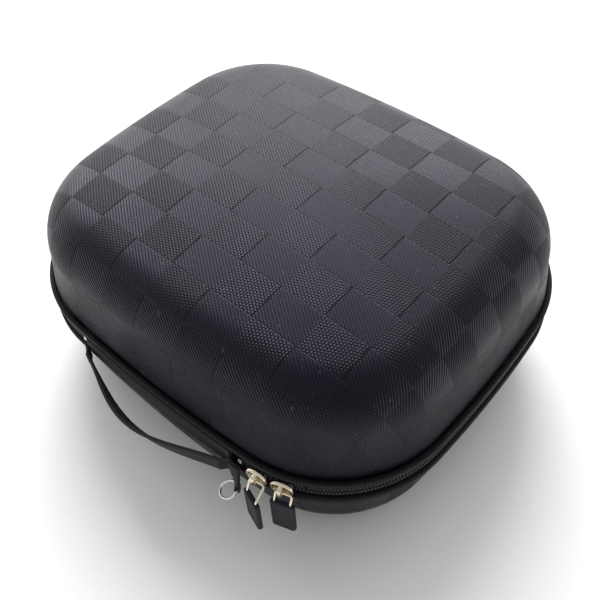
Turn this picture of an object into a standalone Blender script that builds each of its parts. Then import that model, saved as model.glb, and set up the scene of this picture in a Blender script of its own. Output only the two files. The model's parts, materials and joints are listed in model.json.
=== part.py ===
"""Moulded clamshell case for full-size headphones, with a two-slider zip and a webbing handle.

Metres, +Z up.  The origin is the middle of the flat bottom.  +X runs along the sewn hinge,
which is on the -Y side under the handle; the lid opens upwards from +Y.
The case outline is a rounded rectangle with slightly bowed sides.  Every ring of the case is
that outline moved inwards by an inset, so shells, lips, tapes and zip share one set of arcs.
"""

from math import acos, atan2, cos, hypot, pi, radians, sin

import bmesh
import bpy
from mathutils import Matrix, Vector

MM = 0.001

# Outline of the lips, the widest part of the case
HALF_LENGTH = 115.0 * MM
HALF_WIDTH = 98.8 * MM
CORNER_RADIUS = 61.2 * MM
CORNER_X = 52.6 * MM
CORNER_Y = 35.6 * MM
CORNER_STEPS = 8
SIDE_STEPS = 4

# Heights
HEIGHT = 107.0 * MM
PARTING_Z = 48.2 * MM
LOWER_LIP_Z = (39.5 * MM, 43.5 * MM)
UPPER_LIP_Z = (53.0 * MM, 56.5 * MM)
RIM_GAP = 0.3 * MM
GAP = 0.3 * MM

# Shells of pressed foam with a fabric skin
SHELL_WALL = 3.6 * MM
LINING_WALL = 0.8 * MM
BINDING_WALL = 1.2 * MM
LOWER_LIP_CORNER = 1.1 * MM
UPPER_LIP_CORNER = 1.0 * MM
BASE_ARC_STEPS = 5
LID_ARC_STEPS = 7
RIM_INSET = 3.9 * MM
BASE_INSET = 4.5 * MM
BASE_DRAFT = 1.4 * MM
BASE_FILLET = 19.6 * MM
LID_INSET = 2.75 * MM
LID_DRAFT = 3.3 * MM
LID_FILLET = 25.0 * MM
LID_CROWN = 4.3 * MM
CROWN_RINGS = 3

# Zip
TAPE_INSET = (2.3 * MM, 3.5 * MM)
CHAIN_INSET = (1.0 * MM, 2.0 * MM)
CHAIN_HEIGHT = 3.0 * MM
CHAIN_MIDDLE_GAP = 0.15 * MM
SPINE_END_X = 50.0 * MM
PARKED_END_ANGLE = radians(-62.0)
STOP_LENGTH = 1.8 * MM

# Fabric hinge between the two shells
HINGE_HALF_LENGTH = 46.0 * MM
HINGE_INSET = (-0.3 * MM, 1.9 * MM)
HINGE_AXIS_Y = -99.2 * MM
HINGE_TO_TAPE = 1.0 * MM

# Sliders: angles are those of the corner's arc, measured from +X
RIGHT_SLIDER_ANGLE = radians(-71.2)
LEFT_SLIDER_ANGLE = radians(-82.1)
SLIDER_LENGTH = 10.2 * MM
SLIDER_HEIGHT = 8.4 * MM
SLIDER_OUT = (-0.7 * MM, 1.8 * MM)
BRIDGE_OUT = 4.5 * MM
BRIDGE_BAR = 0.8 * MM
BRIDGE_WIDTH = 1.8 * MM
BRIDGE_HALF_SPAN = 3.3 * MM
BAIL_RADIUS = 0.55 * MM
BAIL_PIVOT_OUT = 2.75 * MM
BAIL_HALF_WIDTH = 3.6 * MM
TAB_SIZE = (11.0 * MM, 2.4 * MM, 23.4 * MM)
TAB_SOCKET_DEPTH = 3.2 * MM
TAB_SHIFT = -1.75 * MM
RIGHT_TAB_OUT = 5.1 * MM
RIGHT_TAB_DROP = 4.2 * MM
LEFT_TAB_OUT = 7.8 * MM
LEFT_TAB_DROP = 5.2 * MM
LEFT_TAB_TURN = radians(-27.0)
TAB_BEVEL = 0.55 * MM
SOCKET_SIDES = 12
SOCKET_LENGTH = 4.6 * MM
BAIL_LEG_ABOVE_TAB = 0.6 * MM
BAIL_BEND = 0.8 * MM
OVAL_FLATTEN = 0.35
OVAL_SQUARE = 0.6
OVAL_SWELL = 0.18
OVAL_SIDES = 20

# Handle
HANDLE_HALF_SPAN = 43.0 * MM
HANDLE_BOW_SPAN = 50.0 * MM
HANDLE_BOW = 12.9 * MM
HANDLE_Y = -100.1 * MM
HANDLE_Z = 43.4 * MM
HANDLE_WIDTH = 8.8 * MM
HANDLE_THICK = 1.4 * MM
HANDLE_STEPS = 20
HANDLE_LEAN = radians(28.0)
HANDLE_LEAN_START = 1.4
ANCHOR_OUT = 1.0 * MM
ANCHOR_LENGTH = 4.2 * MM

# Tether ring and its webbing tab
TETHER_TOP = Vector((50.6, -99.6, 48.6)) * MM
TETHER_LOW = Vector((52.4, -101.6, 29.6)) * MM
TETHER_WIDTH = 5.2 * MM
TETHER_THICK = 2.4 * MM
TETHER_TURN = radians(-52.0)
TETHER_EYE_RADIUS = 1.0 * MM
TETHER_EYE_SHARE = 0.88
TETHER_LOOP_WIDTH = 2.6 * MM
TETHER_LOOP_THICK = 3.0 * MM
RING_RADIUS = 4.2 * MM
RING_WIRE = 0.55 * MM
RING_OUT = 0.94
RING_DOWN = 0.34
RING_STEPS = 24
RING_SIDES = 8
TETHER_STEPS = 6
TETHER_TURN_RATE = 1.25
EYE_CUT_LENGTH = 12.0 * MM

# Lid pocket of elastic net
POCKET_Z = 86.0 * MM
POCKET_INSET = 15.5 * MM
POCKET_THICK = 0.8 * MM
POCKET_EDGE_Y = 24.0 * MM
ELASTIC_WIDTH = 9.0 * MM
ELASTIC_THICK = 1.6 * MM
POCKET_BINDING_WIDTH = 1.6 * MM
POCKET_BINDING_DROP = 1.0 * MM

# Colour, roughness and metallic value of each material
FINISHES = {
    "jacquard": ((0.030, 0.033, 0.042), 0.55, 0.0),
    "lining": ((0.018, 0.018, 0.020), 0.80, 0.0),
    "piping": ((0.012, 0.012, 0.014), 0.60, 0.0),
    "tape": ((0.011, 0.011, 0.012), 0.75, 0.0),
    "coil": ((0.014, 0.014, 0.016), 0.40, 0.0),
    "webbing": ((0.016, 0.016, 0.019), 0.70, 0.0),
    "net": ((0.012, 0.012, 0.013), 0.85, 0.0),
    "gold_metal": ((0.79, 0.70, 0.52), 0.25, 1.0),
    "steel_wire": ((0.80, 0.80, 0.80), 0.22, 1.0),
    "slate_rubber": ((0.030, 0.032, 0.045), 0.50, 0.0),
}


# ------------------------------------------------------------------ scene helpers


def start_scene():
    """Empty the scene and return the collections for the case and for its cutters."""
    for old in list(bpy.data.objects):
        bpy.data.objects.remove(old, do_unlink=True)
    kept = bpy.data.collections.new("headphone_case")
    cutters = bpy.data.collections.new("cutters")
    for collection in (kept, cutters):
        bpy.context.scene.collection.children.link(collection)
    return kept, cutters


CASE, CUTTERS = start_scene()


def finish_material(name):
    """One Principled material for each finish, made the first time it is asked for."""
    material = bpy.data.materials.get(name)
    if material is None:
        colour, roughness, metallic = FINISHES[name]
        material = bpy.data.materials.new(name)
        material.use_nodes = True
        shader = material.node_tree.nodes["Principled BSDF"]
        shader.inputs["Base Color"].default_value = (*colour, 1.0)
        shader.inputs["Roughness"].default_value = roughness
        shader.inputs["Metallic"].default_value = metallic
        material.diffuse_color = (*colour, 1.0)
    return material


def add_mesh(name, mesh, finish, parent=None, smooth_angle=35.0):
    """Link a mesh, placed in world space, as one named sub-part."""
    piece = bpy.data.objects.new(name, mesh)
    CASE.objects.link(piece)
    mesh.materials.clear()
    mesh.materials.append(finish_material(finish))
    mesh.shade_smooth()
    mesh.set_sharp_from_angle(angle=radians(smooth_angle))
    if parent is not None:
        mesh.transform(parent.matrix_world.inverted())
        piece.parent = parent
    return piece


def add_pivot(name, place, turn=0.0, parent=None):
    """An empty on a joint's axis; what moves with the joint is parented to it."""
    pivot = bpy.data.objects.new(name, None)
    CASE.objects.link(pivot)
    world = Matrix.Translation(place) @ Matrix.Rotation(turn, 4, "Z")
    if parent is not None:
        pivot.parent = parent
        pivot.matrix_basis = parent.matrix_world.inverted() @ world
    else:
        pivot.matrix_basis = world
    bpy.context.view_layer.update()
    return pivot


def mesh_from_bmesh(name, bm):
    """Turn a bmesh into a mesh with its faces pointing out."""
    bmesh.ops.recalc_face_normals(bm, faces=bm.faces)
    mesh = bpy.data.meshes.new(name)
    bm.to_mesh(mesh)
    bm.free()
    return mesh


def evaluated_mesh(piece, name):
    """The object's evaluated mesh in world space; the object itself is removed."""
    bpy.context.view_layer.update()
    graph = bpy.context.evaluated_depsgraph_get()
    mesh = bpy.data.meshes.new_from_object(piece.evaluated_get(graph))
    mesh.transform(piece.matrix_world)
    mesh.name = name
    bpy.data.objects.remove(piece, do_unlink=True)
    return mesh


def cylinder(name, radius, length, place, turn, sides=16):
    """A round cutter along the turned Z axis."""
    bm = bmesh.new()
    bmesh.ops.create_cone(
        bm, cap_ends=True, segments=sides, radius1=radius, radius2=radius, depth=length
    )
    bmesh.ops.transform(bm, matrix=Matrix.Translation(place) @ turn.to_matrix().to_4x4(), verts=bm.verts)
    cutter = bpy.data.objects.new(name, mesh_from_bmesh(name, bm))
    CUTTERS.objects.link(cutter)
    cutter.hide_render = True
    cutter.display_type = "WIRE"
    return cutter


def boolean(piece, other, operation):
    """Keep an exact cut or union on the piece."""
    step = piece.modifiers.new(f"{operation.lower()}_{other.name}", "BOOLEAN")
    step.operation = operation
    step.solver = "EXACT"
    step.object = other


# ------------------------------------------------------------------ outline


def side_arcs():
    """Radii and centres of the two kinds of side arc, tangent to the corner arcs."""
    dx = CORNER_X - HALF_LENGTH
    dy = CORNER_Y - HALF_WIDTH
    radius_x = (CORNER_RADIUS**2 - dx**2 - CORNER_Y**2) / (2 * (dx + CORNER_RADIUS))
    radius_y = (CORNER_RADIUS**2 - dy**2 - CORNER_X**2) / (2 * (dy + CORNER_RADIUS))
    return radius_x, radius_y


RADIUS_X, RADIUS_Y = side_arcs()
ANGLE_X = atan2(CORNER_Y, CORNER_X - HALF_LENGTH + RADIUS_X)
ANGLE_Y = atan2(CORNER_Y - HALF_WIDTH + RADIUS_Y, CORNER_X)


def outline_point(angle, inset, z):
    """Point of the outline whose outward normal has this angle, moved in by the inset."""
    across, along = cos(angle), sin(angle)
    fold = atan2(abs(along), abs(across))
    if fold < ANGLE_X:
        centre, radius = (HALF_LENGTH - RADIUS_X, 0.0), RADIUS_X
    elif fold < ANGLE_Y:
        centre, radius = (CORNER_X, CORNER_Y), CORNER_RADIUS
    else:
        centre, radius = (0.0, HALF_WIDTH - RADIUS_Y), RADIUS_Y
    side_x = 1.0 if across >= 0 else -1.0
    side_y = 1.0 if along >= 0 else -1.0
    x = side_x * centre[0] + (radius - inset) * across
    y = side_y * centre[1] + (radius - inset) * along
    return Vector((x, y, z))


def outline_angles():
    """Normal angles round the whole outline, evenly spread over each arc."""
    stops = []
    for quarter in range(4):
        middle = quarter * pi / 2
        half = ANGLE_X if quarter % 2 == 0 else pi / 2 - ANGLE_Y
        stops += [middle + half * (2 * step / SIDE_STEPS - 1) for step in range(SIDE_STEPS)]
        next_half = pi / 2 - ANGLE_Y if quarter % 2 == 0 else ANGLE_X
        span = pi / 2 - half - next_half
        stops += [middle + half + span * step / CORNER_STEPS for step in range(CORNER_STEPS)]
    return stops


def spine_angle(x):
    """Normal angle, on the hinge side, of the outline point at this X."""
    return -acos(x / RADIUS_Y)


def angles_between(first, last):
    """Normal angles from first up to last, through the outline's own steps."""
    inside = []
    for turn in (-1, 0, 1):
        inside += [a + turn * 2 * pi for a in outline_angles()]
    margin = radians(0.4)
    return [first] + sorted(a for a in inside if first + margin < a < last - margin) + [last]


def ring_piece(name, section, finish, angles=None, parent=None):
    """Run a section of (inset, z) points round the outline, or along part of it."""
    whole = angles is None
    angles = outline_angles() if whole else angles
    bm = bmesh.new()
    rings = [[bm.verts.new(outline_point(a, i, z)) for i, z in section] for a in angles]
    count = len(section)
    for here, there in zip(rings, rings[1:] + (rings[:1] if whole else [])):
        for k in range(count):
            after = (k + 1) % count
            bm.faces.new((here[k], here[after], there[after], there[k]))
    if not whole:
        bm.faces.new(rings[0])
        bm.faces.new(list(reversed(rings[-1])))
    return add_mesh(name, mesh_from_bmesh(name, bm), finish, parent)


def rounded_section(inset_range, z_range, corner):
    """Section of a lip: square inside, with its two outer corners cut back."""
    outer, inner = inset_range
    low, high = z_range
    return [
        (inner, low),
        (outer + corner, low),
        (outer, low + corner),
        (outer, high - corner),
        (outer + corner, high),
        (inner, high),
    ]


def flat_section(inset_range, z_range):
    """Plain rectangular section."""
    outer, inner = inset_range
    low, high = z_range
    return [(inner, low), (outer, low), (outer, high), (inner, high)]


# ------------------------------------------------------------------ shells


def bowl_profile(rim, wall_inset, draft, fillet, end_z, crown, arc_steps, depth=0.0):
    """(inset, z) points from the rim over the rounded edge, offset inwards by depth."""
    up = 1.0 if end_z > PARTING_Z else -1.0
    edge_z = end_z - up * (fillet + crown)
    profile = [(inset + depth, z) for inset, z in rim]
    profile.append((wall_inset + draft + depth, edge_z))
    for step in range(1, arc_steps + 1):
        turn = pi / 2 * step / arc_steps
        inset = wall_inset + draft + fillet - (fillet - depth) * cos(turn)
        profile.append((inset, edge_z + up * (fillet - depth) * sin(turn)))
    return profile


def shell_piece(name, profile, crown, wall, finish, parent=None):
    """Open bowl of outline rings, closed by a shallow crown and given its wall inwards."""
    up = 1.0 if profile[-1][1] > PARTING_Z else -1.0
    angles = outline_angles()
    bm = bmesh.new()
    rings = [[bm.verts.new(outline_point(a, i, z)) for a in angles] for i, z in profile]
    last_inset, last_z = profile[-1]
    steps = CROWN_RINGS if crown else 1
    for step in range(1, steps):
        scale = 1 - step / steps
        lift = up * crown * (1 - scale**2)
        ring = []
        for angle in angles:
            point = outline_point(angle, last_inset, last_z + lift)
            ring.append(bm.verts.new((point.x * scale, point.y * scale, point.z)))
        rings.append(ring)
    middle = bm.verts.new((0.0, 0.0, last_z + up * crown))
    count = len(angles)
    for low, high in zip(rings, rings[1:]):
        for k in range(count):
            after = (k + 1) % count
            bm.faces.new((low[k], low[after], high[after], high[k]))
    for k in range(count):
        bm.faces.new((rings[-1][k], rings[-1][(k + 1) % count], middle))
    if up < 0:
        bmesh.ops.reverse_faces(bm, faces=bm.faces)
    mesh = bpy.data.meshes.new(name)
    bm.to_mesh(mesh)
    bm.free()
    piece = add_mesh(name, mesh, finish, parent)
    solidify = piece.modifiers.new("wall", "SOLIDIFY")
    solidify.thickness = wall
    solidify.offset = -1.0
    solidify.use_even_offset = True
    return piece


def build_base():
    """Lower shell with its lining, lip, zip tape, zip chain and inner binding."""
    top = PARTING_Z - RIM_GAP
    lip_low, lip_high = LOWER_LIP_Z
    rim = [(RIM_INSET, top), (RIM_INSET, lip_high + GAP), (BASE_INSET, lip_high - GAP), (BASE_INSET, lip_low)]
    shape = (BASE_INSET, BASE_DRAFT, BASE_FILLET, 0.0, 0.0, BASE_ARC_STEPS)
    shell_piece("base_shell", bowl_profile(rim, *shape), 0.0, SHELL_WALL, "jacquard")
    skin = SHELL_WALL + GAP
    skin_rim = [(BASE_INSET, lip_low)]
    skin_profile = bowl_profile(skin_rim, *shape, depth=skin)
    shell_piece("base_lining", skin_profile, 0.0, LINING_WALL, "lining")
    lip = rounded_section((0.0, BASE_INSET - GAP), LOWER_LIP_Z, LOWER_LIP_CORNER)
    ring_piece("base_rim_piping", lip, "piping")
    binding = flat_section(
        (BASE_INSET + SHELL_WALL + GAP, BASE_INSET + SHELL_WALL + GAP + BINDING_WALL), (lip_low + GAP, top)
    )
    ring_piece("base_seam_binding", binding, "piping")
    start = spine_angle(HINGE_HALF_LENGTH + HINGE_TO_TAPE)
    end = spine_angle(-HINGE_HALF_LENGTH - HINGE_TO_TAPE) + 2 * pi
    tape = flat_section(TAPE_INSET, (lip_high + GAP, PARTING_Z - CHAIN_MIDDLE_GAP))
    ring_piece("base_zip_tape", tape, "tape", angles_between(start, end))


def build_lid(parent):
    """Upper shell with its lining, lip, zip tape and inner binding."""
    low = PARTING_Z + RIM_GAP
    lip_low, lip_high = UPPER_LIP_Z
    step_z = lip_low - GAP
    rim = [(RIM_INSET, low), (RIM_INSET, step_z), (LID_INSET, step_z + 2 * GAP), (LID_INSET, lip_high)]
    shape = (LID_INSET, LID_DRAFT, LID_FILLET, HEIGHT, LID_CROWN, LID_ARC_STEPS)
    shell_piece("lid_shell", bowl_profile(rim, *shape), LID_CROWN, SHELL_WALL, "jacquard", parent)
    skin = SHELL_WALL + GAP
    skin_rim = [(LID_INSET, lip_high)]
    skin_profile = bowl_profile(skin_rim, *shape, depth=skin)
    shell_piece("lid_lining", skin_profile, LID_CROWN, LINING_WALL, "lining", parent)
    lip = rounded_section((0.0, LID_INSET - GAP), UPPER_LIP_Z, UPPER_LIP_CORNER)
    ring_piece("lid_rim_piping", lip, "piping", parent=parent)
    inner = RIM_INSET + SHELL_WALL + GAP
    binding = flat_section((inner, inner + BINDING_WALL), (low, lip_high - GAP))
    ring_piece("lid_seam_binding", binding, "piping", parent=parent)
    end = spine_angle(-HINGE_HALF_LENGTH - HINGE_TO_TAPE) + 2 * pi
    tape = flat_section(TAPE_INSET, (PARTING_Z + CHAIN_MIDDLE_GAP, lip_low - GAP))
    ring_piece("lid_zip_tape", tape, "tape", angles_between(PARKED_END_ANGLE, end), parent)


def build_zip_chain(lid):
    """Two rows of coil teeth, the closed stretch under the sliders, and the end stops."""
    stop = STOP_LENGTH / RADIUS_Y
    right = spine_angle(SPINE_END_X)
    left = spine_angle(-SPINE_END_X) + 2 * pi
    gap = GAP / CORNER_RADIUS
    lower = (PARTING_Z - CHAIN_HEIGHT, PARTING_Z - CHAIN_MIDDLE_GAP)
    upper = (PARTING_Z + CHAIN_MIDDLE_GAP, PARTING_Z + CHAIN_HEIGHT)
    whole = (lower[0], upper[1])
    after_stop = right + stop + gap
    angles = angles_between(PARKED_END_ANGLE, left - stop - gap)
    ring_piece("base_zip_chain", flat_section(CHAIN_INSET, lower), "coil", angles)
    ring_piece("lid_zip_chain", flat_section(CHAIN_INSET, upper), "coil", angles, lid)
    parked = angles_between(after_stop, PARKED_END_ANGLE - gap)
    ring_piece("zip_end_chain", flat_section(CHAIN_INSET, whole), "coil", parked)
    stop_section = flat_section(CHAIN_INSET, lower)
    ring_piece("zip_stop_right", stop_section, "gold_metal", [right, right + stop])
    ring_piece("zip_stop_left", stop_section, "gold_metal", [left - stop, left])


def build_hinge(lid):
    """Fabric hinge: one strip on each shell, meeting at the parting line."""
    first, last = spine_angle(-HINGE_HALF_LENGTH), spine_angle(HINGE_HALF_LENGTH)
    angles = [first + (last - first) * step / SIDE_STEPS for step in range(SIDE_STEPS + 1)]
    lower = (LOWER_LIP_Z[1] + GAP, PARTING_Z - CHAIN_MIDDLE_GAP)
    upper = (PARTING_Z + CHAIN_MIDDLE_GAP, UPPER_LIP_Z[0] - GAP)
    ring_piece("base_hinge_strip", flat_section(HINGE_INSET, lower), "tape", angles)
    ring_piece("lid_hinge_strip", flat_section(HINGE_INSET, upper), "tape", angles, lid)


# ------------------------------------------------------------------ pocket


def pocket_outline(inset, edge_y):
    """Plan outline of the net pocket: the case outline cut straight at the open edge."""
    points = []
    for angle in outline_angles():
        point = outline_point(angle, inset, 0.0)
        if point.y < edge_y - 1.0 * MM:
            points.append(point)
    rim_x = CORNER_X + (((CORNER_RADIUS - inset) ** 2 - max(0.0, edge_y - CORNER_Y) ** 2) ** 0.5)
    side_x = min(rim_x, outline_point(0.0, inset, 0.0).x - 0.3 * MM)
    start = next(k for k, p in enumerate(points) if p.x < 0)
    ordered = points[start:] + points[:start]
    return [Vector((-side_x, edge_y, 0.0))] + ordered + [Vector((side_x, edge_y, 0.0))]


def plate_from_outline(name, points, z, thick, finish, parent):
    """Flat plate with this plan outline, its lower face at z."""
    bm = bmesh.new()
    face = bm.faces.new([bm.verts.new((p.x, p.y, z)) for p in points])
    lifted = bmesh.ops.extrude_face_region(bm, geom=[face])
    top = [item for item in lifted["geom"] if isinstance(item, bmesh.types.BMVert)]
    bmesh.ops.translate(bm, vec=(0.0, 0.0, thick), verts=top)
    return add_mesh(name, mesh_from_bmesh(name, bm), finish, parent)


def build_pocket(lid):
    """Net panel across the lid with an elastic band along its open edge and a sewn rim."""
    net = pocket_outline(POCKET_INSET, POCKET_EDGE_Y)
    plate_from_outline("pocket_net", net, POCKET_Z, POCKET_THICK, "net", lid)
    half = net[0].x
    low_y, high_y = POCKET_EDGE_Y + GAP, POCKET_EDGE_Y + GAP + ELASTIC_WIDTH
    corners = [(half, low_y), (-half, low_y), (-half, high_y), (half, high_y)]
    band = [Vector((x, y, 0.0)) for x, y in corners]
    plate_from_outline("pocket_elastic", band, POCKET_Z, ELASTIC_THICK, "webbing", lid)
    rim_inset = (POCKET_INSET - POCKET_BINDING_WIDTH, POCKET_INSET - GAP)
    rim = flat_section(rim_inset, (POCKET_Z - POCKET_BINDING_DROP, POCKET_Z + ELASTIC_THICK))
    ends = angles_between(-pi - ANGLE_X, ANGLE_X)
    ring_piece("pocket_binding", rim, "piping", ends, lid)


# ------------------------------------------------------------------ straps


def strap_piece(name, places, widths, thicks, finish, parent=None):
    """Loft a flat strap: each place has a width vector and a thickness vector."""
    bm = bmesh.new()
    rings = []
    for place, wide, thick in zip(places, widths, thicks):
        corners = [wide + thick, -wide + thick, -wide - thick, wide - thick]
        rings.append([bm.verts.new(place + corner * 0.5) for corner in corners])
    for here, there in zip(rings, rings[1:]):
        for k in range(4):
            after = (k + 1) % 4
            bm.faces.new((here[k], here[after], there[after], there[k]))
    bm.faces.new(rings[0])
    bm.faces.new(list(reversed(rings[-1])))
    return add_mesh(name, mesh_from_bmesh(name, bm), finish, parent)


def handle_point(x):
    """Centre line of the handle, bowed out from the hinge side."""
    bow = HANDLE_BOW * cos(pi * x / (2 * HANDLE_BOW_SPAN)) ** 1.5
    return Vector((x, HANDLE_Y - bow, HANDLE_Z))


def build_handle():
    """Webbing strap that leans outwards at the left of its bow, and its two sewn ends."""
    pivot = add_pivot("handle_pivot", Vector((0.0, HANDLE_Y, HANDLE_Z)))
    places, widths, thicks = [], [], []
    for step in range(HANDLE_STEPS + 1):
        share = step / HANDLE_STEPS
        x = HANDLE_HALF_SPAN * (2 * share - 1)
        place = handle_point(x)
        ahead = (handle_point(x + 0.1 * MM) - handle_point(x - 0.1 * MM)).normalized()
        lean = HANDLE_LEAN * sin(pi * share) ** 2 * (HANDLE_LEAN_START - share)
        upright = Vector((0.0, 0.0, 1.0))
        outward = ahead.cross(upright).normalized()
        wide = upright * cos(lean) + outward * sin(lean)
        places.append(place)
        widths.append(wide * HANDLE_WIDTH)
        thicks.append(wide.cross(ahead).normalized() * HANDLE_THICK)
    strap_piece("handle_webbing", places, widths, thicks, "webbing", pivot)
    for side, name in ((-1.0, "handle_anchor_left"), (1.0, "handle_anchor_right")):
        first = side * (HANDLE_HALF_SPAN + GAP)
        xs = [first, first + side * ANCHOR_LENGTH]
        seat = [outline_point(spine_angle(x), -ANCHOR_OUT, HANDLE_Z) for x in xs]
        tall = Vector((0.0, 0.0, HANDLE_WIDTH))
        deep = [Vector((0.0, HANDLE_THICK, 0.0)) for _ in xs]
        strap_piece(name, seat, [tall for _ in xs], deep, "webbing")


def build_tether():
    """Doubled webbing tab that turns as it hangs, with an eye for the wire ring."""
    steps = TETHER_STEPS
    places, widths, thicks = [], [], []
    for step in range(steps + 1):
        share = step / steps
        turn = TETHER_TURN * min(1.0, share * TETHER_TURN_RATE) ** 2
        wide = Vector((cos(turn), sin(turn), 0.0))
        places.append(TETHER_TOP.lerp(TETHER_LOW, share))
        fold = max(0.0, 2.0 * share - 1.0)
        widths.append(wide * (TETHER_WIDTH + fold * (TETHER_LOOP_WIDTH - TETHER_WIDTH)))
        thick = TETHER_THICK + fold * (TETHER_LOOP_THICK - TETHER_THICK)
        thicks.append(Vector((-sin(turn), cos(turn), 0.0)) * thick)
    tab = strap_piece("tether_tab", places, widths, thicks, "webbing")
    eye = TETHER_TOP.lerp(TETHER_LOW, TETHER_EYE_SHARE)
    across = Vector((cos(TETHER_TURN), sin(TETHER_TURN), 0.0))
    turned = across.to_track_quat("Z", "Y").to_euler()
    cutter = cylinder("tether_eye", TETHER_EYE_RADIUS, EYE_CUT_LENGTH, eye, turned)
    boolean(tab, cutter, "DIFFERENCE")
    return eye, across


def build_ring(eye, across):
    """Wire ring through the eye, held out to the side by the twist of its tab."""
    pivot = add_pivot("tether_pivot", eye)
    outward = Vector((sin(TETHER_TURN), -cos(TETHER_TURN), 0.0))
    down = (outward * RING_OUT + Vector((0.0, 0.0, -RING_DOWN))).normalized()
    centre = eye + down * RING_RADIUS
    axis = across.cross(down).normalized()
    bm = bmesh.new()
    around, tube = RING_STEPS, RING_SIDES
    rings = []
    for step in range(around):
        turn = 2 * pi * step / around
        spoke = across * cos(turn) + down * sin(turn)
        ring = []
        for side in range(tube):
            roll = 2 * pi * side / tube
            offset = spoke * (RING_RADIUS + RING_WIRE * cos(roll)) + axis * RING_WIRE * sin(roll)
            ring.append(bm.verts.new(centre + offset))
        rings.append(ring)
    for step in range(around):
        here, there = rings[step], rings[(step + 1) % around]
        for k in range(tube):
            after = (k + 1) % tube
            bm.faces.new((here[k], here[after], there[after], there[k]))
    return add_mesh("tether_ring", mesh_from_bmesh("tether_ring", bm), "steel_wire", pivot)


# ------------------------------------------------------------------ sliders


def slider_frame(angle):
    """Matrix whose X runs back along the zip, Y points out of the case and Z is up."""
    place = outline_point(angle, 0.0, PARTING_Z)
    outward = Vector((cos(angle), sin(angle), 0.0))
    along = Vector((sin(angle), -cos(angle), 0.0))
    turn = Matrix((along, outward, Vector((0.0, 0.0, 1.0)))).transposed().to_4x4()
    return Matrix.Translation(place) @ turn


def box_mesh(name, low, high, matrix, bevel=0.0):
    """Box between two corners of a frame, with bevelled edges if asked."""
    bm = bmesh.new()
    bmesh.ops.create_cube(bm, size=1.0)
    low, high = Vector(low), Vector(high)
    size = high - low
    for vert in bm.verts:
        vert.co = Vector(low[k] + (vert.co[k] + 0.5) * size[k] for k in range(3))
    if bevel:
        bmesh.ops.bevel(bm, geom=bm.edges[:], offset=bevel, segments=1, affect="EDGES")
    bmesh.ops.transform(bm, matrix=matrix, verts=bm.verts)
    return mesh_from_bmesh(name, bm)


def helper_box(name, low, high, matrix):
    """Box kept with the cutters, for a cut or a union."""
    helper = bpy.data.objects.new(name, box_mesh(name, low, high, matrix))
    CUTTERS.objects.link(helper)
    helper.hide_render = True
    helper.display_type = "WIRE"
    return helper


def oval_mesh(name, length, height, out_range, matrix):
    """Flat oval plate standing in the frame's XZ plane."""
    bm = bmesh.new()
    bmesh.ops.create_cone(bm, cap_ends=True, segments=OVAL_SIDES, radius1=0.5, radius2=0.5, depth=1.0)
    inner, outer = out_range
    for vert in bm.verts:
        x, z, y = vert.co
        flatten = 1.0 / max(hypot(x * 2, z * 2) ** OVAL_FLATTEN, 1e-6)
        square = max(abs(x * 2), abs(z * 2)) ** OVAL_SQUARE
        grow = flatten * (1.0 + OVAL_SWELL * (1.0 - square))
        vert.co = Vector((x * length * grow, inner + (y + 0.5) * (outer - inner), z * height * grow))
    bmesh.ops.transform(bm, matrix=matrix, verts=bm.verts)
    return mesh_from_bmesh(name, bm)


def build_slider(side, angle, travel_pivot):
    """Oval slider body with the bridge that its pull hangs from."""
    frame = slider_frame(angle)
    name = f"{side}_slider_body"
    plate = oval_mesh(name, SLIDER_LENGTH, SLIDER_HEIGHT, SLIDER_OUT, frame)
    body = add_mesh(name, plate, "gold_metal", travel_pivot)
    half = BRIDGE_WIDTH / 2
    span = BRIDGE_HALF_SPAN
    arch = helper_box(
        f"{side}_bridge", (-half, SLIDER_OUT[1] - 0.5 * MM, -span), (half, BRIDGE_OUT, span), frame
    )
    inside = span - BRIDGE_BAR
    tunnel = helper_box(
        f"{side}_tunnel", (-2 * half, SLIDER_OUT[1], -inside), (2 * half, BRIDGE_OUT - BRIDGE_BAR, inside), frame
    )
    boolean(arch, tunnel, "DIFFERENCE")
    boolean(body, arch, "UNION")
    return frame


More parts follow.
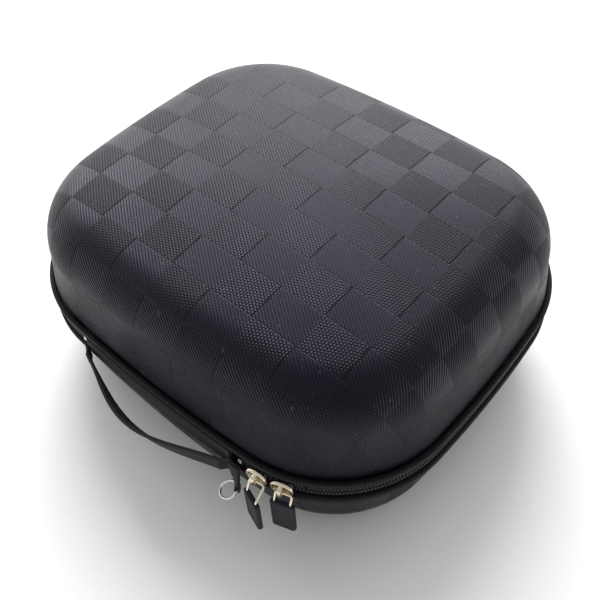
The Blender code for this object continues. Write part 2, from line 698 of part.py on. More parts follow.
def build_pull(side, frame, shift, out, top_drop, turn, travel_pivot):
    """Wire bail through the bridge with a rubber tab moulded round its two ends."""
    pivot_place = frame @ Vector((0.0, BAIL_PIVOT_OUT, 0.0))
    pivot = add_pivot(f"{side}_pull_pivot", pivot_place, parent=travel_pivot)
    wide, thick, tall = TAB_SIZE
    tab_frame = frame @ Matrix.Translation((shift, out, -top_drop)) @ Matrix.Rotation(turn, 4, "Z")
    tab_mesh = box_mesh(
        f"{side}_pull_tab", (-wide / 2, -thick / 2, -tall), (wide / 2, thick / 2, 0.0), tab_frame, TAB_BEVEL
    )
    tab = add_mesh(f"{side}_pull_tab", tab_mesh, "slate_rubber", pivot)
    leg = BAIL_HALF_WIDTH
    ends = [tab_frame @ Vector((x, 0.0, -TAB_SOCKET_DEPTH)) for x in (-leg, leg)]
    tops = [tab_frame @ Vector((x, 0.0, BAIL_LEG_ABOVE_TAB)) for x in (-leg, leg)]
    upright = tab_frame.to_quaternion().to_euler()
    for which, end in zip("ab", ends):
        middle = end + (tops[0] - ends[0]) * 0.5
        hole = cylinder(f"{side}_socket_{which}", BAIL_RADIUS + GAP, SOCKET_LENGTH, middle, upright, SOCKET_SIDES)
        boolean(tab, hole, "DIFFERENCE")
    bar = [frame @ Vector((x, BAIL_PIVOT_OUT, 0.0)) for x in (shift - leg, shift + leg)]
    rounded = BAIL_BEND
    path = [ends[0], tops[0]]
    path += [tops[0].lerp(bar[0], 1 - rounded / (tops[0] - bar[0]).length), bar[0].lerp(bar[1], rounded / (2 * leg))]
    path += [bar[1].lerp(bar[0], rounded / (2 * leg)), tops[1].lerp(bar[1], 1 - rounded / (tops[1] - bar[1]).length)]
    path += [tops[1], ends[1]]
    wire = wire_mesh(f"{side}_bail", path, BAIL_RADIUS)
    add_mesh(f"{side}_bail", wire, "gold_metal", pivot)


def wire_mesh(name, path, radius):
    """Round wire along a path, as a closed mesh."""
    curve = bpy.data.curves.new(name, "CURVE")
    curve.dimensions = "3D"
    curve.bevel_depth = radius
    curve.bevel_resolution = 2
    curve.use_fill_caps = True
    spline = curve.splines.new("POLY")
    spline.points.add(len(path) - 1)
    for point, place in zip(spline.points, path):
        point.co = (*place, 1.0)
    guide = bpy.data.objects.new(name, curve)
    CUTTERS.objects.link(guide)
    mesh = evaluated_mesh(guide, name)
    bpy.data.curves.remove(curve)
    bm = bmesh.new()
    bm.from_mesh(mesh)
    bmesh.ops.remove_doubles(bm, verts=bm.verts, dist=0.01 * MM)
    bm.to_mesh(mesh)
    bm.free()
    return mesh


def build_sliders():
    """Both sliders turn about the middle of the front corner as they follow its arc."""
    corner = Vector((CORNER_X, -CORNER_Y, PARTING_Z))
    layout = (
        ("right", RIGHT_SLIDER_ANGLE, RIGHT_TAB_OUT, RIGHT_TAB_DROP, 0.0),
        ("left", LEFT_SLIDER_ANGLE, LEFT_TAB_OUT, LEFT_TAB_DROP, LEFT_TAB_TURN),
    )
    for side, angle, out, drop, turn in layout:
        pivot = add_pivot(f"{side}_travel_pivot", corner)
        frame = build_slider(side, angle, pivot)
        build_pull(side, frame, TAB_SHIFT, out, drop, turn, pivot)


def main():
    """Build the whole case, closed, with the handle bowed out and the pulls hanging."""
    build_base()
    lid = add_pivot("lid_pivot", Vector((0.0, HINGE_AXIS_Y, PARTING_Z)))
    build_lid(lid)
    build_zip_chain(lid)
    build_hinge(lid)
    build_pocket(lid)
    build_handle()
    build_ring(*build_tether())
    build_sliders()


main()
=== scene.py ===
"""Looks of a moulded clamshell case for headphones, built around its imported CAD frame."""

import json
import logging
from dataclasses import dataclass, field
from enum import Enum
from math import acos, atan2, ceil, cos, floor, hypot, pi, radians, sin

import bmesh
import bpy
from mathutils import Matrix, Vector


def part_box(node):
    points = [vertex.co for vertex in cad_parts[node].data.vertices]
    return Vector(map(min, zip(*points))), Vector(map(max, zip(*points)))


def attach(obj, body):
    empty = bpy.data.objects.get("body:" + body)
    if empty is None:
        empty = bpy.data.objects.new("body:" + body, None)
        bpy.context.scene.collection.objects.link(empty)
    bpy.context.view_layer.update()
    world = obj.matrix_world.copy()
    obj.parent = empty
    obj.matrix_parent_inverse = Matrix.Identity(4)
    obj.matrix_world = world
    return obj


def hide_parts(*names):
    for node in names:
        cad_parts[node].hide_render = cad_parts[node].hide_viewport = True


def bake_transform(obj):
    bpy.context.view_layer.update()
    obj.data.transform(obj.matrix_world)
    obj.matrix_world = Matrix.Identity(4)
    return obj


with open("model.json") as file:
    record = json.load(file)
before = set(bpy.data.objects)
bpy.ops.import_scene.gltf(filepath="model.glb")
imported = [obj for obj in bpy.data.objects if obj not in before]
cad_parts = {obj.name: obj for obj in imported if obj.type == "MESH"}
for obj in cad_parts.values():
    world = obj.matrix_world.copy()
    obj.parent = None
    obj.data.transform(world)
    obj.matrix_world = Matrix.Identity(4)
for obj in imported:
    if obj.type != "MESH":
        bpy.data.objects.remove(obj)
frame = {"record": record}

MM = 0.001
LOG = logging.getLogger("case")

Row = list[Vector]
Pair = tuple[float, float]
Triple = tuple[float, float, float]


# ------------------------------------------------------------------ node trees


class Sheet:
    """A node tree with short ways to add and join its nodes."""

    def __init__(self, tree: bpy.types.NodeTree) -> None:
        """Wrap a tree."""
        self.tree = tree

    def node(self, kind: str, **settings: object) -> bpy.types.Node:
        """Add a node and set its properties.

        Args:
            kind: Blender's type name of the node.
            settings: property names and values.

        Returns:
            The new node.
        """
        made = self.tree.nodes.new(kind)
        for key, value in settings.items():
            setattr(made, key, value)
        return made

    def feed(self, socket: bpy.types.NodeSocket, value: object) -> None:
        """Link a socket, or set its value if a plain value is given."""
        if isinstance(value, bpy.types.NodeSocket):
            self.tree.links.new(value, socket)
        else:
            socket.default_value = value

    def math(self, operation: str, *values: object) -> bpy.types.NodeSocket:
        """Add a Math node and return its result."""
        made = self.node("ShaderNodeMath", operation=operation)
        for socket, value in zip(made.inputs, values):
            self.feed(socket, value)
        return made.outputs[0]

    def mix(self, share: object, low: object, high: object, colour: bool = True) -> bpy.types.NodeSocket:
        """Mix two colours, or two numbers.

        Args:
            share: 0 gives low and 1 gives high.
            low: colour, number or socket.
            high: colour, number or socket.
            colour: False for numbers.

        Returns:
            The mixed socket.
        """
        if not colour:
            made = self.node("ShaderNodeMix", data_type="FLOAT")
            inputs, result = (made.inputs[0], made.inputs[2], made.inputs[3]), made.outputs[0]
        else:
            made = self.node("ShaderNodeMix", data_type="RGBA")
            inputs, result = (made.inputs[0], made.inputs[6], made.inputs[7]), made.outputs[2]
        for socket, value in zip(inputs, (share, low, high)):
            self.feed(socket, value)
        return result

    def noise(self, vector: object, scale: float, detail: float = 3.0) -> bpy.types.NodeSocket:
        """Noise value at a vector."""
        made = self.node("ShaderNodeTexNoise")
        self.feed(made.inputs["Vector"], vector)
        made.inputs["Scale"].default_value = scale
        made.inputs["Detail"].default_value = detail
        return made.outputs["Fac"]

    def wave(self, phase: object) -> bpy.types.NodeSocket:
        """Cosine wave from 0 to 1 of a phase in turns."""
        turned = self.math("MULTIPLY", phase, 2 * pi)
        return self.math("MULTIPLY_ADD", self.math("COSINE", turned), 0.5, 0.5)

    def span(self, value: object, low: float, high: float) -> bpy.types.NodeSocket:
        """Smooth step from 0 at low to 1 at high."""
        made = self.node("ShaderNodeMapRange", interpolation_type="SMOOTHSTEP")
        for socket, item in zip(made.inputs, (value, low, high, 0.0, 1.0)):
            self.feed(socket, item)
        return made.outputs[0]


def shader_group(
    name: str, inputs: dict[str, object], outputs: tuple[str, ...]
) -> tuple[Sheet, bpy.types.Node, bpy.types.Node]:
    """Start a shader node group with named sockets.

    Args:
        name: the group's name.
        inputs: socket names, with a default number or None for a vector.
        outputs: names of its number outputs.

    Returns:
        The group's sheet, its input node and its output node.
    """
    tree = bpy.data.node_groups.new(name, "ShaderNodeTree")
    for label, value in inputs.items():
        kind = "NodeSocketVector" if value is None else "NodeSocketFloat"
        socket = tree.interface.new_socket(label, in_out="INPUT", socket_type=kind)
        if value is not None:
            socket.default_value = value
    for label in outputs:
        tree.interface.new_socket(label, in_out="OUTPUT", socket_type="NodeSocketFloat")
    sheet = Sheet(tree)
    return sheet, sheet.node("NodeGroupInput"), sheet.node("NodeGroupOutput")


RIB_RUN = (0.6, 0.8)
DASH_RATIO = 1.15
DASH_DEPTH = (0.16, 0.62)
RIB_TILT = 0.28
TILE_SEAM = (0.955, 0.985)
CROSS_SEAM = 0.022
CROSS_SEAM_SHARE = 0.35
# Painted sheen: the two lays' contrast is faded in a band about the plane through the camera's line of sight,
# where light reflects alike off both lays.
SHEEN_FADE_RUN = (0.74, 0.68)
SHEEN_FADE_SPAN = (10.0 * MM, 60.0 * MM)
SHEEN_FADE_LEAST = 0.2
LINT_SCALE = 420.0
LINT_SPAN = (0.79, 0.83)


def twill_basket_group() -> bpy.types.NodeTree:
    """Twill ribs in a checker of two lays, which differ least along the middle of the lid, where their
    painted sheen contrast is faded.
    """
    inputs = {"Vector": None, "Pitch": 1.3 * MM, "TileX": 22.5 * MM, "TileY": 17.7 * MM}
    inputs |= {"StartX": 0.0, "StartY": 0.0}
    sheet, source, result = shader_group("twill_basket", inputs, ("Height", "Tone", "Edge", "Thread"))
    split = sheet.node("ShaderNodeSeparateXYZ")
    sheet.feed(split.inputs[0], source.outputs["Vector"])
    x, y = split.outputs[0], split.outputs[1]
    past_x = sheet.math("SUBTRACT", x, source.outputs["StartX"])
    past_y = sheet.math("SUBTRACT", y, source.outputs["StartY"])
    across = sheet.math("DIVIDE", past_x, source.outputs["TileX"])
    along = sheet.math("DIVIDE", past_y, source.outputs["TileY"])
    total = sheet.math("ADD", sheet.math("FLOOR", across), sheet.math("FLOOR", along))
    lay = sheet.math("FLOORED_MODULO", total, 2.0)
    rib_x, rib_y = RIB_RUN
    rib_phase = sheet.math("ADD", sheet.math("MULTIPLY", x, rib_x), sheet.math("MULTIPLY", y, rib_y))
    dash_phase = sheet.math("SUBTRACT", sheet.math("MULTIPLY", x, rib_y), sheet.math("MULTIPLY", y, rib_x))
    rib_turns = sheet.math("DIVIDE", rib_phase, source.outputs["Pitch"])
    dash_turns = sheet.math("DIVIDE", dash_phase, sheet.math("MULTIPLY", source.outputs["Pitch"], DASH_RATIO))
    shifted = sheet.math("ADD", dash_turns, sheet.math("MULTIPLY", sheet.math("FLOOR", rib_turns), 0.5))
    rise = sheet.math("FRACT", rib_turns)
    fall = sheet.math("SUBTRACT", 1.0, rise)
    ramp = sheet.mix(lay, fall, rise, colour=False)
    body = sheet.wave(sheet.math("ADD", rib_turns, 0.5))
    dash = sheet.wave(shifted)
    shallow, deep = DASH_DEPTH
    dashed = sheet.math("MULTIPLY", body, sheet.math("MULTIPLY_ADD", dash, deep, 1 - deep))
    smooth = sheet.math("MULTIPLY", body, sheet.math("MULTIPLY_ADD", dash, shallow, 1 - shallow))
    thread = sheet.mix(lay, smooth, dashed, colour=False)
    tilted = sheet.math("MULTIPLY", ramp, RIB_TILT)
    height = sheet.math("ADD", sheet.math("MULTIPLY", thread, 1 - RIB_TILT), tilted)
    from_seam = sheet.math("SUBTRACT", sheet.math("FRACT", sheet.math("ADD", along, 0.5)), 0.5)
    near_y = sheet.math("ABSOLUTE", from_seam)
    line_x = sheet.math("MULTIPLY", sheet.span(sheet.math("FRACT", across), *TILE_SEAM), lay)
    beside = sheet.math("SUBTRACT", 1.0, sheet.span(near_y, 0.0, CROSS_SEAM))
    line_y = sheet.math("MULTIPLY", beside, CROSS_SEAM_SHARE)
    edge = sheet.math("MAXIMUM", line_x, line_y)
    # Painted sheen fade: the lay contrast shrinks to its least share near that plane.
    aside = sheet.math("ADD", sheet.math("MULTIPLY", x, SHEEN_FADE_RUN[0]), sheet.math("MULTIPLY", y, SHEEN_FADE_RUN[1]))
    sheen_contrast = sheet.span(sheet.math("ABSOLUTE", aside), *SHEEN_FADE_SPAN)
    checker_and_sheen = sheet.math("MULTIPLY", lay, sheet.math("MULTIPLY_ADD", sheen_contrast, 1 - SHEEN_FADE_LEAST, SHEEN_FADE_LEAST))
    for label, value in (("Height", height), ("Tone", checker_and_sheen), ("Edge", edge), ("Thread", thread)):
        sheet.feed(result.inputs[label], value)
    return sheet.tree


def plain_weave_group() -> bpy.types.NodeTree:
    """Over-and-under threads of webbing, tape and edging, or of brushed lining when fine."""
    sheet, source, result = shader_group(
        "plain_weave", {"Vector": None, "PitchX": 1.0 * MM, "PitchY": 1.0 * MM}, ("Height", "Shade")
    )
    split = sheet.node("ShaderNodeSeparateXYZ")
    sheet.feed(split.inputs[0], source.outputs["Vector"])
    u = sheet.math("DIVIDE", split.outputs[0], source.outputs["PitchX"])
    v = sheet.math("DIVIDE", split.outputs[1], source.outputs["PitchY"])
    rows = []
    for first, second, start in ((u, v, 0.0), (v, u, 0.5)):
        round_top = sheet.wave(sheet.math("ADD", first, 0.5))
        swap = sheet.math("MULTIPLY_ADD", sheet.math("FLOOR", first), 0.5, start)
        over = sheet.wave(sheet.math("MULTIPLY_ADD", second, 0.5, swap))
        rows.append(sheet.math("MULTIPLY", round_top, over))
    height = sheet.math("MAXIMUM", rows[0], rows[1])
    sheet.feed(result.inputs["Height"], height)
    sheet.feed(result.inputs["Shade"], sheet.math("SUBTRACT", rows[0], rows[1]))
    return sheet.tree


def wear_group() -> bpy.types.NodeTree:
    """Soft patches, fine grain and lint that every finish shares."""
    sheet, source, result = shader_group(
        "wear", {"Vector": None, "Patch": 30.0, "Grain": 900.0}, ("Patches", "Grain", "Lint")
    )
    for label, scale, detail in (("Patches", "Patch", 3.0), ("Grain", "Grain", 2.0)):
        noise = sheet.node("ShaderNodeTexNoise")
        sheet.feed(noise.inputs["Vector"], source.outputs["Vector"])
        sheet.feed(noise.inputs["Scale"], source.outputs[scale])
        noise.inputs["Detail"].default_value = detail
        sheet.feed(result.inputs[label], noise.outputs["Fac"])
    lint = sheet.noise(source.outputs["Vector"], LINT_SCALE, 0.0)
    sheet.feed(result.inputs["Lint"], sheet.span(lint, *LINT_SPAN))
    return sheet.tree


GROUPS = {"twill": twill_basket_group(), "weave": plain_weave_group(), "wear": wear_group()}


@dataclass(frozen=True)
class Finish:
    """What every finish of the case has: its colours, gloss and relief."""

    name: str
    dark: Triple
    light: Triple
    roughness: float = 0.6
    relief: float = 0.10 * MM
    specular: float = 0.3
    lint_share: float = 0.08
    lint_colour: Triple = (0.20, 0.20, 0.20)

    def start(self) -> tuple[bpy.types.Material, Sheet, bpy.types.Node, bpy.types.Node]:
        """Make the material, its sheet, its shader and its wear group.

        Returns:
            Material, sheet, Principled node and wear node.
        """
        material = bpy.data.materials.new(self.name)
        material.use_nodes = True
        sheet = Sheet(material.node_tree)
        shader = material.node_tree.nodes["Principled BSDF"]
        shader.inputs["Specular IOR Level"].default_value = self.specular
        place = sheet.node("ShaderNodeTexCoord")
        wear = sheet.node("ShaderNodeGroup", node_tree=GROUPS["wear"])
        sheet.feed(wear.inputs["Vector"], place.outputs["Object"])
        return material, sheet, shader, wear

    def linted(self, sheet: Sheet, wear: bpy.types.Node, colour: object) -> bpy.types.NodeSocket:
        """Add this finish's specks of lint to a colour."""
        share = sheet.math("MULTIPLY", wear.outputs["Lint"], self.lint_share)
        return sheet.mix(share, colour, (*self.lint_colour, 1.0))

    def bump(self, sheet: Sheet, shader: bpy.types.Node, height: object) -> None:
        """Give the shader a bump of this finish's relief."""
        node = sheet.node("ShaderNodeBump")
        node.inputs["Strength"].default_value = 1.0
        node.inputs["Distance"].default_value = self.relief
        sheet.feed(node.inputs["Height"], height)
        sheet.feed(shader.inputs["Normal"], node.outputs[0])


@dataclass(frozen=True)
class Jacquard(Finish):
    """Polyester cloth of the shells, in a checker of two twill lays."""

    pitch: float = 1.3 * MM
    start_x: float = 35.7 * MM
    start_y: float = 5.5 * MM
    # Painted shade: the share of the dark colour that the hollows between the twill threads take.
    shade: float = 0.45
    mottle: float = 0.35
    seam: float = 0.75
    seam_depth: float = 0.8
    grain: float = 0.15
    gloss_change: Pair = (-0.02, 0.10)
    tint: Triple = (0.80, 0.77, 1.0)

    def build(self) -> bpy.types.Material:
        """Build the material, which reads the piece's own UV map in metres."""
        material, sheet, shader, wear = self.start()
        cloth = sheet.node("ShaderNodeUVMap", uv_map="cloth")
        twill = sheet.node("ShaderNodeGroup", node_tree=GROUPS["twill"])
        sheet.feed(twill.inputs["Vector"], cloth.outputs[0])
        for label, value in (("Pitch", self.pitch), ("StartX", self.start_x), ("StartY", self.start_y)):
            twill.inputs[label].default_value = value
        # The two lays' colours are the woven checker together with painted sheen: the lighter lay is a lit
        # copy of the same cloth, faded along the middle of the lid.
        lay = twill.outputs["Tone"]
        # Painted shade: the hollows between the twill threads take the darker deep colour, which also colours
        # the real dark tile seams.
        deep = tuple(self.shade * c for c in self.dark)
        thread_light = sheet.mix(twill.outputs["Thread"], (*deep, 1.0), (*self.light, 1.0))
        thread_dark = sheet.mix(twill.outputs["Thread"], (*deep, 1.0), (*self.dark, 1.0))
        cloth_colour = sheet.mix(lay, thread_light, thread_dark)
        patched = sheet.mix(sheet.span(wear.outputs["Patches"], 0.25, 0.75), cloth_colour, thread_dark)
        mottled = sheet.mix(self.mottle, cloth_colour, patched)
        edged = sheet.mix(sheet.math("MULTIPLY", twill.outputs["Edge"], self.seam), mottled, (*deep, 1.0))
        sheet.feed(shader.inputs["Base Color"], self.linted(sheet, wear, edged))
        rough = sheet.mix(lay, *(self.roughness + change for change in self.gloss_change), colour=False)
        sheet.feed(shader.inputs["Roughness"], rough)
        grain = sheet.math("MULTIPLY", wear.outputs["Grain"], self.grain)
        lines = sheet.math("MULTIPLY", twill.outputs["Edge"], self.seam_depth)
        height = sheet.math("SUBTRACT", sheet.math("ADD", twill.outputs["Height"], grain), lines)
        self.bump(sheet, shader, height)
        shader.inputs["Specular Tint"].default_value = (*self.tint, 1.0)
        return material


@dataclass(frozen=True)
class Woven(Finish):
    """Webbing, tape, edging and lining: plain weave at its own pitches."""

    pitch_u: float = 1.0 * MM
    pitch_v: float = 1.0 * MM
    fuzz: float = 0.3
    sheen: float = 0.02
    gloss_grain: float = 0.15

    def build(self) -> bpy.types.Material:
        """Build the material, which reads the piece's own UV map in metres."""
        material, sheet, shader, wear = self.start()
        cloth = sheet.node("ShaderNodeUVMap", uv_map="cloth")
        weave = sheet.node("ShaderNodeGroup", node_tree=GROUPS["weave"])
        sheet.feed(weave.inputs["Vector"], cloth.outputs[0])
        weave.inputs["PitchX"].default_value = self.pitch_u
        weave.inputs["PitchY"].default_value = self.pitch_v
        # Painted shade: thread tops take the light colour and the hollows of the weave the dark one.
        colour = sheet.mix(weave.outputs["Height"], (*self.dark, 1.0), (*self.light, 1.0))
        patches = sheet.math("MULTIPLY", wear.outputs["Patches"], 0.5)
        colour = sheet.mix(patches, colour, (*self.dark, 1.0))
        sheet.feed(shader.inputs["Base Color"], self.linted(sheet, wear, colour))
        rough = sheet.math("MULTIPLY_ADD", wear.outputs["Grain"], self.gloss_grain, self.roughness - 0.07)
        sheet.feed(shader.inputs["Roughness"], rough)
        fuzz = sheet.math("MULTIPLY", wear.outputs["Grain"], self.fuzz)
        self.bump(sheet, shader, sheet.math("ADD", weave.outputs["Height"], fuzz))
        shader.inputs["Sheen Weight"].default_value = self.sheen
        return material


@dataclass(frozen=True)
class Plated(Finish):
    """Plated metal with fine handling marks and duller low spots."""

    dulling: float = 0.14
    gloss_grain: float = 0.08

    def build(self) -> bpy.types.Material:
        """Build the material."""
        material, sheet, shader, wear = self.start()
        shader.inputs["Metallic"].default_value = 1.0
        marks = sheet.span(wear.outputs["Patches"], 0.35, 0.7)
        sheet.feed(shader.inputs["Base Color"], sheet.mix(marks, (*self.light, 1.0), (*self.dark, 1.0)))
        rough = sheet.math("MULTIPLY_ADD", marks, self.dulling, self.roughness)
        grainy = sheet.math("MULTIPLY_ADD", wear.outputs["Grain"], self.gloss_grain, rough)
        sheet.feed(shader.inputs["Roughness"], grainy)
        self.bump(sheet, shader, wear.outputs["Grain"])
        return material


@dataclass(frozen=True)
class Moulded(Finish):
    """Moulded rubber or nylon with a fine matt grain."""

    dulling: float = 0.12
    lint_share: float = 0.12
    lint_colour: Triple = (0.25, 0.25, 0.25)

    def build(self) -> bpy.types.Material:
        """Build the material."""
        material, sheet, shader, wear = self.start()
        patches = sheet.span(wear.outputs["Patches"], 0.3, 0.7)
        colour = sheet.mix(patches, (*self.dark, 1.0), (*self.light, 1.0))
        sheet.feed(shader.inputs["Base Color"], self.linted(sheet, wear, colour))
        rough = sheet.math("MULTIPLY_ADD", patches, self.dulling, self.roughness)
        sheet.feed(shader.inputs["Roughness"], rough)
        self.bump(sheet, shader, wear.outputs["Grain"])
        return material


class Stuff(Enum):
    """The finishes of the case, each with its record slot."""

    SHELL = (
        "shell_fabric",
        Jacquard(
            name="jacquard_cloth",
            # The gap between dark and light is the woven checker together with painted sheen on the lighter
            # lay.
            dark=(0.0022, 0.0018, 0.0045),
            light=(0.0105, 0.0090, 0.0165),
            roughness=0.35,
            relief=0.30 * MM,
            specular=0.22,
            lint_share=0.10,
            lint_colour=(0.22, 0.22, 0.24),
        ),
    )
    PIPING = (
        "piping",
        Woven(
            name="edging",
            dark=(0.004, 0.004, 0.005),
            light=(0.012, 0.012, 0.014),
            roughness=0.62,
            relief=0.12 * MM,
            specular=0.14,
            pitch_u=0.9 * MM,
            pitch_v=0.7 * MM,
        ),
    )
    TAPE = (
        "tape",
        Woven(
            name="zip_tape",
            dark=(0.004, 0.004, 0.005),
            light=(0.011, 0.011, 0.013),
            roughness=0.72,
            relief=0.10 * MM,
            specular=0.12,
            pitch_u=0.8 * MM,
            pitch_v=0.6 * MM,
        ),
    )
    LINING = (
        "lining",
        Woven(
            name="tricot",
            dark=(0.020, 0.020, 0.023),
            light=(0.036, 0.036, 0.040),
            roughness=0.85,
            relief=0.10 * MM,
            specular=0.2,
            pitch_u=0.9 * MM,
            pitch_v=1.1 * MM,
            fuzz=0.9,
            sheen=0.2,
        ),
    )
    WEBBING = (
        "webbing",
        Woven(
            name="webbing",
            dark=(0.005, 0.005, 0.006),
            light=(0.016, 0.016, 0.019),
            roughness=0.62,
            relief=0.25 * MM,
            specular=0.16,
            pitch_u=1.5 * MM,
            pitch_v=1.1 * MM,
        ),
    )
    NET = (
        "net",
        Moulded(
            name="net_yarn",
            dark=(0.010, 0.010, 0.011),
            light=(0.022, 0.022, 0.024),
            roughness=0.8,
            relief=0.05 * MM,
            specular=0.2,
        ),
    )
    THREAD = (
        "piping",
        Moulded(
            name="thread",
            dark=(0.012, 0.012, 0.014),
            light=(0.026, 0.026, 0.030),
            roughness=0.6,
            relief=0.02 * MM,
            specular=0.25,
        ),
    )
    COIL = (
        "coil",
        Moulded(
            name="nylon_coil",
            dark=(0.006, 0.006, 0.007),
            light=(0.013, 0.013, 0.015),
            roughness=0.34,
            relief=0.02 * MM,
            specular=0.35,
        ),
    )
    GOLD = (
        "gold_metal",
        Plated(
            name="pale_gold",
            dark=(0.62, 0.53, 0.37),
            light=(0.86, 0.79, 0.63),
            roughness=0.16,
            relief=0.01 * MM,
            specular=0.5,
        ),
    )
    STEEL = (
        "steel_wire",
        Plated(
            name="nickel_wire",
            dark=(0.62, 0.62, 0.62),
            light=(0.90, 0.90, 0.90),
            roughness=0.14,
            relief=0.01 * MM,
            specular=0.5,
        ),
    )
    RUBBER = (
        "rubber",
        Moulded(
            name="slate_rubber",
            dark=(0.010, 0.010, 0.015),
            light=(0.015, 0.016, 0.022),
            roughness=0.50,
            relief=0.06 * MM,
            specular=0.22,
        ),
    )

    def material(self) -> bpy.types.Material:
        """This finish's material, built the first time it is asked for."""
        finish = self.value[1]
        return bpy.data.materials.get(finish.name) or finish.build()


# ------------------------------------------------------------------ meshes


def dress(piece: bpy.types.Object, stuff: Stuff, body: str, *nodes: str) -> bpy.types.Object:
    """Give a finished piece its material and body, and hide the CAD nodes it stands for.

    Args:
        piece: the mesh object, with its place in its mesh.
        stuff: its finish.
        body: the CAD body it rides on, or an empty string to leave it unattached.
        nodes: the CAD nodes it replaces.

    Returns:
        The piece.
    """
    piece.data.materials.clear()
    piece.data.materials.append(stuff.material())
    if body:
        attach(piece, body)
    if nodes:
        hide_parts(*nodes)
    LOG.info("%s: %d faces", piece.name, len(piece.data.polygons))
    return piece


def link(name: str, mesh: bpy.types.Mesh) -> bpy.types.Object:
    """Link a mesh to the scene as a new object."""
    piece = bpy.data.objects.new(name, mesh)
    bpy.context.scene.collection.objects.link(piece)
    return piece


@dataclass
class Skin:
    """A net of points, row by row, that becomes one mesh with a cloth UV map in metres."""

    name: str
    rows: list[Row]
    uvs: list[list[Pair]]
    ring: bool = True
    loop: bool = False
    caps: bool = True
    sharp: float = 40.0

    def build(self) -> bpy.types.Object:
        """Join neighbouring points with quads, close the ends and point the faces out.

        Returns:
            The linked object.
        """
        bm = bmesh.new()
        layer = bm.loops.layers.uv.new("cloth")
        net = [[bm.verts.new(p) for p in row] for row in self.rows]
        width = len(net[0])
        pairs = list(zip(range(len(net)), range(1, len(net))))
        if self.loop:
            pairs.append((len(net) - 1, 0))
        for low, high in pairs:
            for k in range(width if self.ring else width - 1):
                after = (k + 1) % width
                face = bm.faces.new((net[low][k], net[low][after], net[high][after], net[high][k]))
                top = len(net) if high == 0 else high
                spots = ((low, k), (low, k + 1), (top, k + 1), (top, k))
                for corner, (r, c) in zip(face.loops, spots):
                    corner[layer].uv = self.uvs[r][c]
        if self.caps and not self.loop:
            for r, row in ((0, net[0]), (-1, net[-1])):
                face = bm.faces.new(row)
                for corner, spot in zip(face.loops, self.uvs[r]):
                    corner[layer].uv = spot
        bmesh.ops.recalc_face_normals(bm, faces=bm.faces)
        mesh = bpy.data.meshes.new(self.name)
        bm.to_mesh(mesh)
        bm.free()
        mesh.shade_smooth()
        mesh.set_sharp_from_angle(angle=radians(self.sharp))
        return link(self.name, mesh)


def sweep(
    name: str, path: Row, wide: Row, thick: Row, section: list[Pair], closed: bool = False
) -> bpy.types.Object:
    """Sweep a section along a path.

    Args:
        name: the piece's name.
        path: centre points.
        wide: one width vector for each point.
        thick: one thickness vector for each point.
        section: outline of the section, in shares of width and thickness.
        closed: True for a path that returns to its start.

    Returns:
        The linked object.
    """
    rows = [[p + w * a + t * b for a, b in section] for p, w, t in zip(path, wide, thick)]
    girth = [0.0]
    around = section + section[:1]
    for (a, b), (c, d) in zip(around, around[1:]):
        girth.append(girth[-1] + hypot((c - a) * wide[0].length, (d - b) * thick[0].length))
    uvs, run = [], 0.0
    stops = path + path[:1] if closed else path
    for here, before in zip(stops, stops[:1] + stops):
        run += (here - before).length
        uvs.append([(run, g) for g in girth])
    return Skin(name, rows, uvs, loop=closed).build()


def oval_section(points: int, power: float) -> list[Pair]:
    """Closed section of half-width 1 by half-thickness 1, rounder as the power nears 2."""
    section = []
    for step in range(points):
        turn = 2 * pi * step / points
        c, s = cos(turn), sin(turn)
        stretch = (abs(c) ** power + abs(s) ** power) ** (-1 / power)
        section.append((c * stretch, s * stretch))
    return section


def wire(name: str, path: Row, radius: float, sides: int = 12, closed: bool = False) -> bpy.types.Object:
    """Round wire along a path, with its frame carried along so that it never twists."""
    count = len(path)
    wide, thick, side = [], [], None
    for k, here in enumerate(path):
        after = path[(k + 1) % count] if closed or k + 1 < count else here
        before = path[k - 1] if closed or k > 0 else here
        ahead = (after - before).normalized()
        if side is None:
            side = ahead.orthogonal().normalized()
        side = (side - ahead * side.dot(ahead)).normalized()
        wide.append(side * radius)
        thick.append(ahead.cross(side) * radius)
    return sweep(name, path, wide, thick, oval_section(sides, 2.0), closed)


def smooth_path(corners: Row, radius: float, steps: int = 6) -> Row:
    """Round the inner corners of a path with short curves."""
    path = [corners[0]]
    for before, here, after in zip(corners, corners[1:], corners[2:]):
        back = min(radius, (before - here).length / 2)
        on = min(radius, (after - here).length / 2)
        first = here + (before - here).normalized() * back
        last = here + (after - here).normalized() * on
        for step in range(steps + 1):
            t = step / steps
            path.append(first.lerp(here, t).lerp(here.lerp(last, t), t))
    return path + [corners[-1]]


# ------------------------------------------------------------------ outline


